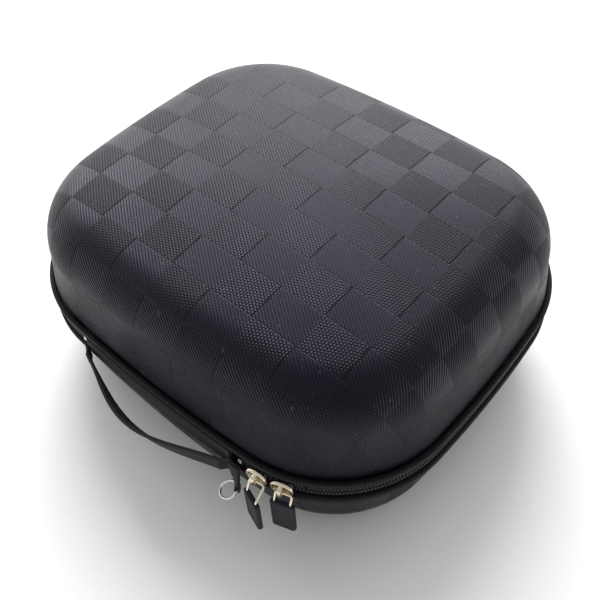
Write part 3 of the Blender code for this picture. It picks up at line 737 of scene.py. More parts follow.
@dataclass
class Outline:
    """The case's plan: a rounded rectangle with bowed sides, met by the normal's angle."""

    half_length: float
    half_width: float
    corner_x: float
    corner_y: float
    radius: float
    arcs: list[Triple] = field(default_factory=list)

    def __post_init__(self) -> None:
        """Work out the side arcs that are tangent to the corner arcs."""
        dx, dy = self.corner_x - self.half_length, self.corner_y - self.half_width
        r = self.radius
        self.radius_x = (r**2 - dx**2 - self.corner_y**2) / (2 * (dx + r))
        self.radius_y = (r**2 - dy**2 - self.corner_x**2) / (2 * (dy + r))
        self.angle_x = atan2(self.corner_y, dx + self.radius_x)
        self.angle_y = atan2(dy + self.radius_y, self.corner_x)
        start = -self.angle_x
        corner = self.angle_y - self.angle_x
        for quarter in range(4):
            flat = 2 * self.angle_x if quarter % 2 == 0 else pi - 2 * self.angle_y
            side = self.radius_x if quarter % 2 == 0 else self.radius_y
            self.arcs.append((start, side, flat))
            self.arcs.append((start + flat, r, corner))
            start += flat + corner
        self.length = sum(side * span for _, side, span in self.arcs)

    def point(self, angle: float, inset: float, z: float) -> Vector:
        """Point of the outline at a normal angle, moved inwards by the inset."""
        c, s = cos(angle), sin(angle)
        fold = atan2(abs(s), abs(c))
        centre, radius = (self.corner_x, self.corner_y), self.radius
        if fold < self.angle_x:
            centre, radius = (self.half_length - self.radius_x, 0.0), self.radius_x
        elif fold > self.angle_y:
            centre, radius = (0.0, self.half_width - self.radius_y), self.radius_y
        x = (centre[0] if c >= 0 else -centre[0]) + (radius - inset) * c
        y = (centre[1] if s >= 0 else -centre[1]) + (radius - inset) * s
        return Vector((x, y, z))

    def run_at(self, angle: float) -> float:
        """Length run along the lips from the start of the +X side to this angle."""
        turns = floor((angle + self.angle_x) / (2 * pi))
        rest, run = angle - turns * 2 * pi, turns * self.length
        for start, radius, span in self.arcs:
            run += radius * min(max(rest - start, 0.0), span)
        return run

    def angle_at(self, run: float) -> float:
        """Normal angle after this length along the lips."""
        turns = floor(run / self.length)
        rest = run - turns * self.length
        for start, radius, span in self.arcs:
            if rest <= radius * span:
                return start + rest / radius + turns * 2 * pi
            rest -= radius * span
        return self.arcs[0][0] + (turns + 1) * 2 * pi

    def spine_angle(self, x: float) -> float:
        """Normal angle, on the hinge side, of the point at this X."""
        return -acos(x / self.radius_y)

    def stations(self, first: float, last: float, pitch: float) -> list[float]:
        """Angles evenly spaced along the lips between two angles."""
        low, high = self.run_at(first), self.run_at(last)
        steps = max(2, ceil((high - low) / pitch))
        return [self.angle_at(low + (high - low) * k / steps) for k in range(steps + 1)]


def frame_outline() -> Outline:
    """The outline, from the lid lip's box and the corner that the sliders turn about."""
    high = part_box("lid_rim_piping")[1]
    corner = joint("right_slider_travel")["pos_m"]
    return Outline(high.x, high.y, corner[0], -corner[1], CORNER_RADIUS)


def joint(name: str) -> dict:
    """The record's joint of this name."""
    return next(j for j in frame["record"]["behaviour"]["joints"] if j["name"] == name)


CORNER_RADIUS = 61.2 * MM
PLAN = frame_outline()
PARTING_Z = joint("lid_hinge")["pos_m"][2]


# ------------------------------------------------------------------ repeats


def start_growth(name: str, numbers: dict[str, float], vectors: dict[str, Triple]) -> Sheet:
    """Start a Geometry Nodes tree with a geometry socket each way and named settings.

    Args:
        name: the tree's name.
        numbers: named number inputs and their defaults.
        vectors: named vector inputs and their defaults.

    Returns:
        The tree's sheet.
    """
    tree = bpy.data.node_groups.new(name, "GeometryNodeTree")
    tree.interface.new_socket("Geometry", in_out="INPUT", socket_type="NodeSocketGeometry")
    for label, value in numbers.items():
        tree.interface.new_socket(label, in_out="INPUT", socket_type="NodeSocketFloat").default_value = value
    for label, value in vectors.items():
        tree.interface.new_socket(label, in_out="INPUT", socket_type="NodeSocketVector").default_value = value
    tree.interface.new_socket("Material", in_out="INPUT", socket_type="NodeSocketMaterial")
    tree.interface.new_socket("Geometry", in_out="OUTPUT", socket_type="NodeSocketGeometry")
    return Sheet(tree)


def bead_tree() -> bpy.types.NodeTree:
    """Rounded beads, such as coil turns and stitches, one on each point and turned by its aim."""
    sheet = start_growth("beads", {"Spread": 0.04, "Seed": 7.0}, {"Size": (1.0, 1.0, 1.0)})
    source, result = sheet.node("NodeGroupInput"), sheet.node("NodeGroupOutput")
    ball = sheet.node("GeometryNodeMeshUVSphere")
    ball.inputs["Segments"].default_value = 10
    ball.inputs["Rings"].default_value = 7
    ball.inputs["Radius"].default_value = 0.5
    soft = sheet.node("GeometryNodeSetShadeSmooth")
    sheet.feed(soft.inputs["Geometry"], ball.outputs["Mesh"])
    aim = sheet.node("GeometryNodeInputNamedAttribute", data_type="FLOAT_VECTOR")
    aim.inputs["Name"].default_value = "aim"
    chance = sheet.node("FunctionNodeRandomValue", data_type="FLOAT")
    low = sheet.math("SUBTRACT", 1.0, source.outputs["Spread"])
    sheet.feed(chance.inputs[2], low)
    sheet.feed(chance.inputs[3], sheet.math("ADD", 1.0, source.outputs["Spread"]))
    sheet.feed(chance.inputs["Seed"], source.outputs["Seed"])
    size = sheet.node("ShaderNodeVectorMath", operation="SCALE")
    sheet.feed(size.inputs[0], source.outputs["Size"])
    sheet.feed(size.inputs["Scale"], chance.outputs[1])
    rows = sheet.node("GeometryNodeInstanceOnPoints")
    sheet.feed(rows.inputs["Points"], source.outputs["Geometry"])
    sheet.feed(rows.inputs["Instance"], soft.outputs[0])
    sheet.feed(rows.inputs["Rotation"], aim.outputs["Attribute"])
    sheet.feed(rows.inputs["Scale"], size.outputs[0])
    real = sheet.node("GeometryNodeRealizeInstances")
    sheet.feed(real.inputs[0], rows.outputs[0])
    clad = sheet.node("GeometryNodeSetMaterial")
    sheet.feed(clad.inputs["Geometry"], real.outputs[0])
    sheet.feed(clad.inputs["Material"], source.outputs["Material"])
    sheet.feed(result.inputs[0], clad.outputs[0])
    return sheet.tree


def strand_tree() -> bpy.types.NodeTree:
    """Round yarn along every edge line of a mesh, for the net."""
    sheet = start_growth("strands", {"Radius": 0.2 * MM}, {})
    source, result = sheet.node("NodeGroupInput"), sheet.node("NodeGroupOutput")
    lines = sheet.node("GeometryNodeMeshToCurve")
    sheet.feed(lines.inputs["Mesh"], source.outputs["Geometry"])
    ring = sheet.node("GeometryNodeCurvePrimitiveCircle")
    ring.inputs["Resolution"].default_value = 5
    sheet.feed(ring.inputs["Radius"], source.outputs["Radius"])
    yarn = sheet.node("GeometryNodeCurveToMesh")
    sheet.feed(yarn.inputs["Curve"], lines.outputs[0])
    sheet.feed(yarn.inputs["Profile Curve"], ring.outputs[0])
    yarn.inputs["Fill Caps"].default_value = True
    real = sheet.node("GeometryNodeRealizeInstances")
    sheet.feed(real.inputs[0], yarn.outputs[0])
    clad = sheet.node("GeometryNodeSetMaterial")
    sheet.feed(clad.inputs["Geometry"], real.outputs[0])
    sheet.feed(clad.inputs["Material"], source.outputs["Material"])
    sheet.feed(result.inputs[0], clad.outputs[0])
    return sheet.tree


BEADS = bead_tree()
STRANDS = strand_tree()


def grow(
    seed: bpy.types.Mesh, name: str, tree: bpy.types.NodeTree, settings: dict[str, object]
) -> bpy.types.Object:
    """Grow a tree from a seed mesh and keep the result as a plain mesh.

    Args:
        seed: points or lines to start from.
        name: the piece's name.
        tree: the Geometry Nodes tree.
        settings: values of its named inputs.

    Returns:
        The linked piece.
    """
    piece = link(name, seed)
    modifier = piece.modifiers.new(tree.name, "NODES")
    modifier.node_group = tree
    for item in tree.interface.items_tree:
        if item.in_out == "INPUT" and item.name in settings:
            modifier[item.identifier] = settings[item.name]
    bpy.context.view_layer.update()
    graph = bpy.context.evaluated_depsgraph_get()
    grown = bpy.data.meshes.new_from_object(piece.evaluated_get(graph))
    piece.modifiers.clear()
    piece.data = grown
    grown.name = name
    bpy.data.meshes.remove(seed)
    return piece


def beads(name: str, places: Row, aims: Row, size: Triple, stuff: Stuff) -> bpy.types.Object:
    """A row of beads.

    Args:
        name: the piece's name.
        places: the middle of each bead.
        aims: Euler angles of each bead, as vectors.
        size: length, depth and height of a bead.
        stuff: finish of the beads.

    Returns:
        The linked piece.
    """
    seed = bpy.data.meshes.new(f"{name}_seed")
    seed.from_pydata(places, [], [])
    aim = seed.attributes.new("aim", "FLOAT_VECTOR", "POINT")
    for item, value in zip(aim.data, aims):
        item.vector = value
    return grow(seed, name, BEADS, {"Size": size, "Material": stuff.material()})


def stitches(name: str, path: Row, pitch: float, body: str, thread: float = 0.42 * MM) -> bpy.types.Object:
    """Run of stitches along a path, riding on a body."""
    places, aims = [], []
    for here, after in zip(path, path[1:]):
        ahead = after - here
        count = max(1, round(ahead.length / pitch))
        aim = Vector(ahead.to_track_quat("X", "Z").to_euler())
        for k in range(count):
            places.append(here.lerp(after, (k + 0.5) / count))
            aims.append(aim)
    row = beads(name, places, aims, (0.72 * pitch, thread, thread), Stuff.THREAD)
    return dress(row, Stuff.THREAD, body)


# ------------------------------------------------------------------ shells


def rounded_box(
    outer: float, inner: float, low: float, high: float, radius: float, steps: int = 4
) -> list[Pair]:
    """Section in (inset, z) of a box whose corners are rounded."""
    points = []
    corners = (
        (outer + radius, low + radius, pi),
        (inner - radius, low + radius, 1.5 * pi),
        (inner - radius, high - radius, 0.0),
        (outer + radius, high - radius, 0.5 * pi),
    )
    for inset, z, start in corners:
        for step in range(steps + 1):
            turn = start + pi / 2 * step / steps
            points.append((inset + radius * cos(turn), z + radius * sin(turn)))
    return points


def band(name: str, section: list[Pair], angles: list[float], closed: bool = False) -> bpy.types.Object:
    """Run a closed (inset, z) section along the outline.

    Args:
        name: the piece's name.
        section: points of the section.
        angles: normal angles of its stations.
        closed: True if the last angle is one turn after the first.

    Returns:
        The linked piece.
    """
    girth = [0.0]
    for (a, b), (c, d) in zip(section, section[1:] + section[:1]):
        girth.append(girth[-1] + hypot(c - a, d - b))
    uvs = [[(PLAN.run_at(angle), g) for g in girth] for angle in angles]
    used = angles[:-1] if closed else angles
    rows = [[PLAN.point(angle, inset, z) for inset, z in section] for angle in used]
    return Skin(name, rows, uvs, loop=closed, sharp=55.0).build()


def whole_round(pitch: float) -> list[float]:
    """Stations once round the outline."""
    return PLAN.stations(-PLAN.angle_x, 2 * pi - PLAN.angle_x, pitch)


@dataclass
class Shell:
    """A moulded bowl of foam under cloth: rim, wall, rounded edge and shallow dome."""

    name: str
    body: str
    stuff: Stuff
    rim: list[Pair]
    inset: float
    draft: float
    fillet: float
    end_z: float
    crown: float = 0.0
    tilt: float = 0.0
    wall: float = 3.6 * MM
    depth: float = 0.0
    pitch: float = 2.6 * MM
    arc_steps: int = 18
    dome_steps: int = 12

    def profile(self, depth: float) -> tuple[list[Pair], float]:
        """Section at a depth inside the outer cloth.

        Args:
            depth: distance inwards from the outer face.

        Returns:
            Points from the rim to the start of the dome, and the dome's lift.
        """
        up = 1.0 if self.end_z > PARTING_Z else -1.0
        edge_z = self.end_z - up * (self.fillet + self.crown)
        points = [(inset + depth, z) for inset, z in self.rim]
        rim_inset, rim_z = points[-1]
        foot = self.inset + self.draft + depth
        for share in (0.25, 0.5, 0.75, 1.0):
            points.append((rim_inset + (foot - rim_inset) * share, rim_z + (edge_z - rim_z) * share))
        radius = self.fillet - depth
        for step in range(1, self.arc_steps + 1):
            turn = (pi / 2 - self.tilt) * step / self.arc_steps
            points.append((foot + radius * (1 - cos(turn)), edge_z + up * radius * sin(turn)))
        return points, self.end_z - up * depth - points[-1][1]

    def rings(self, depth: float, angles: list[float]) -> tuple[list[Row], list[list[Pair]]]:
        """Rings of points and cloth places from the rim to the middle of the dome."""
        points, lift = self.profile(depth)
        runs = [0.0]
        for (a, b), (c, d) in zip(reversed(points), list(reversed(points))[1:]):
            runs.append(runs[-1] + hypot(c - a, d - b))
        top_inset, top_z = points[-1]
        rows, uvs = [], []
        for (inset, z), run in zip(points, reversed(runs)):
            rows.append([PLAN.point(a, inset, z) for a in angles[:-1]])
            spots = [PLAN.point(a, top_inset - run, 0.0) for a in angles]
            uvs.append([(p.x, p.y) for p in spots])
        for step in range(1, self.dome_steps + 1):
            scale = max(0.004, 1 - step / self.dome_steps)
            z = top_z + lift * (1 - scale**2)
            ring = [PLAN.point(a, top_inset, z) for a in angles]
            rows.append([Vector((p.x * scale, p.y * scale, p.z)) for p in ring[:-1]])
            uvs.append([(p.x * scale, p.y * scale) for p in ring])
        return rows, uvs

    def build(self) -> bpy.types.Object:
        """Build the outer and inner faces as one closed skin."""
        angles = whole_round(self.pitch)
        outer, outer_uv = self.rings(self.depth, angles)
        inner, inner_uv = self.rings(self.depth + self.wall, angles)
        rows, uvs = inner[::-1] + outer, inner_uv[::-1] + outer_uv
        piece = Skin(self.name, rows, uvs, sharp=50.0).build()
        return dress(piece, self.stuff, self.body, self.name.removesuffix("_cloth"))


@dataclass
class Shells:
    """Both shells with their linings, lips and inner seam bindings."""

    wall: float = 3.6 * MM
    gap: float = 0.3 * MM
    lining: float = 0.7 * MM
    lip_round: float = 1.35 * MM
    binding: float = 1.2 * MM
    binding_round: float = 0.45 * MM
    rim_inset: float = 3.9 * MM
    base_inset: float = 4.5 * MM
    base_draft: float = 1.4 * MM
    base_fillet: float = 19.6 * MM
    lid_inset: float = 2.75 * MM
    lid_draft: float = 3.3 * MM
    lid_fillet: float = 25.0 * MM
    lid_crown: float = 4.3 * MM
    lid_tilt: float = radians(6.5)

    def build(self) -> None:
        """Build every piece of the two shells."""
        low_lip, high_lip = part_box("base_rim_piping"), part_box("lid_rim_piping")
        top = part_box("lid_shell")[1].z
        base_rim = [
            (self.rim_inset, PARTING_Z - self.gap),
            (self.rim_inset, low_lip[1].z + self.gap),
            (self.base_inset, low_lip[1].z - self.gap),
            (self.base_inset, low_lip[0].z),
        ]
        lid_rim = [
            (self.rim_inset, PARTING_Z + self.gap),
            (self.rim_inset, high_lip[0].z - self.gap),
            (self.lid_inset, high_lip[0].z + self.gap),
            (self.lid_inset, high_lip[1].z),
        ]
        base_shape = (self.base_inset, self.base_draft, self.base_fillet, 0.0)
        lid_shape = (self.lid_inset, self.lid_draft, self.lid_fillet, top, self.lid_crown, self.lid_tilt)
        skin = self.wall + self.gap
        Shell("base_shell_cloth", "base", Stuff.SHELL, base_rim, *base_shape).build()
        Shell("lid_shell_cloth", "lid", Stuff.SHELL, lid_rim, *lid_shape).build()
        inside = {"wall": self.lining, "depth": skin, "pitch": 4.0 * MM, "arc_steps": 12, "dome_steps": 6}
        for name, body, rim, shape in (
            ("base_lining_cloth", "base", base_rim, base_shape),
            ("lid_lining_cloth", "lid", lid_rim, lid_shape),
        ):
            Shell(name, body, Stuff.LINING, rim[-1:], *shape, **inside).build()
        self.lip("base_rim_piping", "base", self.base_inset - self.gap)
        self.lip("lid_rim_piping", "lid", self.lid_inset - self.gap)
        self.seam("base_seam_binding", "base", self.base_inset + skin)
        self.seam("lid_seam_binding", "lid", self.rim_inset + skin)

    def lip(self, node: str, body: str, inner: float) -> None:
        """Rounded outer lip where a shell's cloth is pressed over its edge."""
        low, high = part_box(node)
        section = rounded_box(0.0, inner, low.z, high.z, min(self.lip_round, inner / 2.2), 6)
        piece = band(f"{node}_cloth", section, whole_round(2.6 * MM), True)
        dress(piece, Stuff.PIPING, body, node)

    def seam(self, node: str, body: str, inset: float) -> None:
        """Binding over the cut edge inside a shell, with its row of stitches."""
        low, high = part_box(node)
        section = rounded_box(inset, inset + self.binding, low.z, high.z, self.binding_round)
        piece = band(f"{node}_cloth", section, whole_round(3.0 * MM), True)
        dress(piece, Stuff.PIPING, body, node)
        middle = (low.z + high.z) / 2
        path = [PLAN.point(a, inset + self.binding, middle) for a in whole_round(3.0 * MM)]
        stitches(f"{node}_stitches", path, 3.0 * MM, body)


# ------------------------------------------------------------------ zip


@dataclass
class Zip:
    """Zip round the case: two tapes, two rows of coil turns and two end stops."""

    pitch: float = 1.5 * MM
    turn_depth: float = 1.05 * MM
    turn_width: float = 1.12 * MM
    turn_height: float = 2.62 * MM
    turn_inset: float = 1.5 * MM
    tape: Pair = (2.3 * MM, 3.5 * MM)
    cord: Pair = (1.3 * MM, 2.0 * MM)
    cord_reach: Pair = (0.6 * MM, 2.75 * MM)
    cord_round: float = 0.25 * MM
    tape_round: float = 0.3 * MM
    station: float = 3.0 * MM
    middle: float = 1.5 * MM
    gap: float = 0.3 * MM
    parked: float = radians(-62.0)
    hinge_gap: float = 1.0 * MM
    end_tape: float = 1.2 * MM
    stop_inset: Pair = (0.8 * MM, 2.0 * MM)
    stop_round: float = 0.4 * MM

    def build(self) -> None:
        """Build the tapes, the coil rows and the stops."""
        parked = self.parked
        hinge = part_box("base_hinge_strip")[1].x + self.hinge_gap
        left = PLAN.spine_angle(-hinge) + 2 * pi
        for node, body, first in (
            ("base_zip_tape", "base", PLAN.spine_angle(hinge)),
            ("lid_zip_tape", "lid", parked),
        ):
            low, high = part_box(node)
            self.tape_piece(f"{node}_cloth", body, low.z, high.z, (first, left), node)
        high_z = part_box("lid_zip_tape")[1].z
        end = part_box("zip_stop_right")[1].x
        span = (PLAN.spine_angle(end), parked)
        self.tape_piece("lid_zip_tape_end", "lid", high_z - self.end_tape, high_z, span)
        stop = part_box("zip_stop_left")[1].x + self.gap
        last = PLAN.spine_angle(stop) + 2 * pi
        first = PLAN.spine_angle(end + self.gap)
        self.coil("base_zip_chain", "base", -1.0, (parked, last), 0.0)
        self.coil("lid_zip_chain", "lid", 1.0, (parked, last), 0.5)
        self.closed_end(first, parked - self.gap / CORNER_RADIUS)
        for node in ("zip_stop_left", "zip_stop_right"):
            self.stop(node)

    def tape_piece(self, name: str, body: str, low: float, high: float, span: Pair, *nodes: str) -> None:
        """One woven tape along part of the outline."""
        section = rounded_box(*self.tape, low, high, self.tape_round)
        dress(band(name, section, PLAN.stations(*span, self.station)), Stuff.TAPE, body, *nodes)

    def turns(self, name: str, side: float, span: Pair, shift: float) -> bpy.types.Object:
        """Coil turns on one side of the parting line, at the zip's pitch."""
        low, high = PLAN.run_at(span[0]) + self.pitch * (0.5 + shift), PLAN.run_at(span[1]) - self.pitch / 2
        places, aims = [], []
        for k in range(int((high - low) / self.pitch) + 1):
            angle = PLAN.angle_at(low + k * self.pitch)
            places.append(PLAN.point(angle, self.turn_inset, PARTING_Z + side * self.middle))
            aims.append(Vector((0.0, 0.0, angle)))
        size = (self.turn_depth, self.turn_width, self.turn_height)
        return beads(name, places, aims, size, Stuff.COIL)

    def coil(self, node: str, body: str, side: float, span: Pair, shift: float) -> None:
        """One open row: its turns and the cord they are sewn to."""
        dress(self.turns(f"{node}_turns", side, span, shift), Stuff.COIL, body, node)
        near, edge = (PARTING_Z + side * reach for reach in self.cord_reach)
        section = rounded_box(*self.cord, min(edge, near), max(edge, near), self.cord_round)
        dress(band(f"{node}_cord", section, PLAN.stations(*span, self.station)), Stuff.TAPE, body)

    def closed_end(self, first: float, last: float) -> None:
        """The stretch that stays closed under the parked sliders."""
        for side, shift, label in ((-1.0, 0.0, "lower"), (1.0, 0.5, "upper")):
            name = f"zip_end_{label}_turns"
            dress(self.turns(name, side, (first, last), shift), Stuff.COIL, "base", "zip_end_chain")
        reach = self.cord_reach[1]
        section = rounded_box(*self.cord, PARTING_Z - reach, PARTING_Z + reach, self.cord_round)
        dress(band("zip_end_cord", section, PLAN.stations(first, last, self.station)), Stuff.TAPE, "base")

    def stop(self, node: str) -> None:
        """Pressed metal stop over the last turns."""
        low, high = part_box(node)
        angles = [PLAN.spine_angle(low.x + (high.x - low.x) * k / 4) for k in range(5)]
        section = rounded_box(*self.stop_inset, low.z, high.z, self.stop_round)
        dress(band(f"{node}_metal", section, angles), Stuff.GOLD, "base", node)


@dataclass
class FabricHinge:
    """One strip of heavy webbing that joins the shells."""

    bulge: float = 0.35 * MM
    margin: float = 1.2 * MM
    inset: Pair = (-0.3 * MM, 1.9 * MM)
    rows: int = 14
    stitch_inset: float = -0.42 * MM

    def build(self) -> None:
        """Build the strip and its two rows of stitches."""
        lower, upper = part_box("base_hinge_strip"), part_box("lid_hinge_strip")
        half, low, high = lower[1].x, lower[0].z, upper[1].z
        angles = PLAN.stations(PLAN.spine_angle(-half), PLAN.spine_angle(half), 2.5 * MM)
        section = []
        outer, inner = self.inset
        for step in range(self.rows + 1):
            share = step / self.rows
            swell = self.bulge * sin(pi * share)
            section.append((outer - swell, low + (high - low) * share))
        section += [(inner, z) for _, z in reversed(section)]
        strip = band("hinge_strip_cloth", section, angles)
        dress(strip, Stuff.WEBBING, "", "base_hinge_strip", "lid_hinge_strip")
        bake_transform(strip)
        for label, z, body in (("lower", low + self.margin, "base"), ("upper", high - self.margin, "lid")):
            path = [PLAN.point(a, self.stitch_inset, z) for a in angles]
            stitches(f"hinge_strip_stitches_{label}", path, 2.8 * MM, body)


# ------------------------------------------------------------------ straps


@dataclass
class Handle:
    """Webbing carry handle, bowed out from the hinge side, with its sewn ends."""

    half_span: float = 43.0 * MM
    bow_span: float = 50.0 * MM
    bow: float = 12.9 * MM
    width: float = 8.8 * MM
    thick: float = 1.4 * MM
    lean: float = radians(28.0)
    lean_start: float = 1.4
    anchor_out: float = 1.0 * MM
    stitch_edge: float = 0.78
    box_edge: float = 0.7
    thread: float = 0.34 * MM
    steps: int = 80

    def point(self, x: float) -> Vector:
        """Centre line of the strap."""
        place = joint("handle_swing")["pos_m"]
        return Vector((x, place[1] - self.bow * cos(pi * x / (2 * self.bow_span)) ** 1.5, place[2]))

    def build(self) -> None:
        """Build the strap and its ends."""
        path, wide, thick = [], [], []
        for step in range(self.steps + 1):
            share = step / self.steps
            x = self.half_span * (2 * share - 1)
            ahead = (self.point(x + 0.1 * MM) - self.point(x - 0.1 * MM)).normalized()
            lean = self.lean * sin(pi * share) ** 2 * (self.lean_start - share)
            outward = ahead.cross(Vector((0.0, 0.0, 1.0))).normalized()
            across = Vector((0.0, 0.0, 1.0)) * cos(lean) + outward * sin(lean)
            path.append(self.point(x))
            wide.append(across * self.width / 2)
            thick.append(across.cross(ahead).normalized() * self.thick / 2)
        strap = sweep("handle_webbing_cloth", path, wide, thick, oval_section(28, 7.0))
        dress(strap, Stuff.WEBBING, "handle", "handle_webbing")
        for label, side in (("outer", 1.0), ("inner", -1.0)):
            for edge in (-self.stitch_edge, self.stitch_edge):
                row = [p + w * edge + t * side * 0.98 for p, w, t in zip(path, wide, thick)]
                name = f"handle_stitches_{label}_{'low' if edge < 0 else 'high'}"
                stitches(name, row[2:-2], 2.4 * MM, "handle", self.thread)
        for node in ("handle_anchor_left", "handle_anchor_right"):
            self.end(node)

    def end(self, node: str) -> None:
        """A sewn end of the strap, flat against the case's side."""
        low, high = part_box(node)
        near, far = sorted((low.x, high.x), key=abs)
        xs = [near + (far - near) * k / 8 for k in range(9)]
        start = self.point(self.half_span)
        path = []
        for k, x in enumerate(xs):
            seat = PLAN.point(PLAN.spine_angle(x), -self.anchor_out, start.z)
            path.append(seat.lerp(Vector((x, start.y, start.z)), max(0.0, 1 - k / 6) ** 1.5))
        wide = [Vector((0.0, 0.0, self.width / 2)) for _ in xs]
        thick = [Vector((0.0, self.thick / 2, 0.0)) for _ in xs]
        dress(sweep(f"{node}_cloth", path, wide, thick, oval_section(28, 7.0)), Stuff.WEBBING, "base", node)
        face = Vector((0.0, -self.thick / 2, 0.0))
        rise = wide[0] * self.box_edge
        box = [path[1] - rise, path[-2] - rise, path[-2] + rise, path[1] + rise]
        route = box + [box[0], box[2], box[3], box[1]]
        stitches(f"{node}_stitches", [p + face for p in route], 1.4 * MM, "base", self.thread)


@dataclass
class Tether:
    """Folded webbing loop that turns as it hangs, and the wire ring in its fold."""

    top: Vector = field(default_factory=lambda: Vector((50.6, -99.6, 48.6)) * MM)
    low: Vector = field(default_factory=lambda: Vector((52.4, -101.6, 29.6)) * MM)
    turn: float = radians(-52.0)
    width: float = 5.2 * MM
    loop_width: float = 2.6 * MM
    layer: float = 0.85 * MM
    eye_share: float = 0.88
    turn_rate: float = 1.25
    split_share: float = 0.62
    split: float = 0.55 * MM
    layer_gap: float = 0.05 * MM
    steps: int = 24
    ring_drop: Pair = (0.94, -0.34)
    ring_radius: float = 4.2 * MM
    wire: float = 0.55 * MM

    def build(self) -> None:
        """Build the loop and its ring."""
        eye = self.top.lerp(self.low, self.eye_share)
        front, back = [], []
        for step in range(self.steps + 1):
            share = self.eye_share * step / self.steps
            turn = self.turn * min(1.0, share * self.turn_rate) ** 2
            fold = max(0.0, 2.0 * share - 1.0)
            wide = Vector((cos(turn), sin(turn), 0.0))
            half = (self.width + fold * (self.loop_width - self.width)) / 2
            face = Vector((sin(turn), -cos(turn), 0.0))
            opened = max(0.0, share - self.split_share) / (self.eye_share - self.split_share)
            apart = self.layer / 2 + self.layer_gap + opened * self.split
            place = self.top.lerp(self.low, share)
            front.append((place + face * apart, wide * half, face * self.layer / 2))
            back.append((place - face * apart, wide * half, face * -self.layer / 2))
        place, wide, thick = front[-1]
        out, down = place - eye, (self.low - self.top).normalized()
        curve = []
        for step in range(1, 12):
            turn = pi * step / 12
            spoke = out.normalized() * cos(turn) + down * sin(turn)
            curve.append((eye + spoke * out.length, wide, spoke * self.layer / 2))
        whole = front + curve + back[::-1]
        path, wides, thicks = (list(part) for part in zip(*whole))
        loop = sweep("tether_tab_cloth", path, wides, thicks, oval_section(24, 6.0))
        dress(loop, Stuff.WEBBING, "base", "tether_tab")
        self.ring(eye)

    def ring(self, eye: Vector) -> None:
        """Wire ring held out to the side by the twist of its loop."""
        across = Vector((cos(self.turn), sin(self.turn), 0.0))
        outward = Vector((sin(self.turn), -cos(self.turn), 0.0))
        down = (outward * self.ring_drop[0] + Vector((0.0, 0.0, self.ring_drop[1]))).normalized()
        centre = eye + down * self.ring_radius
        turns = [2 * pi * k / 72 for k in range(72)]
        path = [centre + (across * cos(t) + down * sin(t)) * self.ring_radius for t in turns]
        dress(wire("tether_ring_wire", path, self.wire, 14, True), Stuff.STEEL, "tether", "tether_ring")


# ------------------------------------------------------------------ sliders


@dataclass
class Pull:
    """Bent wire bail with a moulded rubber tab."""

    shift: float
    out: float
    drop: float
    turn: float
    wire: float = 0.55 * MM
    half: float = 3.6 * MM
    pivot_out: float = 2.75 * MM
    socket: float = 3.2 * MM
    wide: float = 11.0 * MM
    thick: float = 2.4 * MM
    tall: float = 23.4 * MM
    corner: float = 1.9 * MM
    top_corner: float = 0.9 * MM
    least_corner: float = 0.15 * MM
    leg_above: float = 0.6 * MM
    bend: float = 1.3 * MM

    def build(self, side: str, place: Matrix) -> None:
        """Build the bail and tab of one slider.

        Args:
            side: left or right.
            place: matrix of the slider's frame.
        """
        body = f"{side}_pull"
        moved = place @ Matrix.Translation((self.shift, self.out, -self.drop))
        turned = moved @ Matrix.Rotation(self.turn, 4, "Z")
        ends = [turned @ Vector((x, 0.0, -self.socket)) for x in (-self.half, self.half)]
        tops = [turned @ Vector((x, 0.0, self.leg_above)) for x in (-self.half, self.half)]
        bar = [place @ Vector((self.shift + x, self.pivot_out, 0.0)) for x in (-self.half, self.half)]
        path = smooth_path([ends[0], tops[0], bar[0], bar[1], tops[1], ends[1]], self.bend)
        dress(wire(f"{side}_bail_wire", path, self.wire, 14), Stuff.GOLD, body, f"{side}_bail")
        tab = self.tab(f"{side}_pull_tab_rubber")
        tab.data.transform(turned)
        dress(tab, Stuff.RUBBER, body, f"{side}_pull_tab")

    def outline(self, inset: float) -> list[Pair]:
        """Tab outline, moved inwards, with small corners above and larger ones below."""
        half, points, tall = self.wide / 2 - inset, [], self.tall - inset
        corners = (
            (1.0, -1.0, self.corner),
            (1.0, 0.0, self.top_corner),
            (-1.0, 0.0, self.top_corner),
            (-1.0, -1.0, self.corner),
        )
        for number, (side, level, radius) in enumerate(corners):
            reach = max(radius - inset, self.least_corner)
            centre_x = side * (half - reach)
            centre_z = -tall + reach if level < 0 else -inset - reach
            for step in range(7):
                turn = -pi / 2 + number * pi / 2 + pi / 2 * step / 6
                points.append((centre_x + reach * cos(turn), centre_z + reach * sin(turn)))
        return points

    def tab(self, name: str) -> bpy.types.Object:
        """Tab with soft edges and a shallow panel sunk in each face."""
        half = self.thick / 2
        levels = [(2.1, 0.74), (1.75, 0.78), (1.45, 1.0), (0.75, 1.0), (0.3, 0.84), (0.06, 0.5), (0.0, 0.0)]
        steps = levels + [(inset, -height) for inset, height in reversed(levels[:-1])]
        rows = []
        for inset, height in steps:
            rows.append([Vector((x, height * half, z)) for x, z in self.outline(inset * MM)])
        uvs = [[(p.x, p.z) for p in row + row[:1]] for row in rows]
        return Skin(name, rows, uvs, sharp=62.0).build()


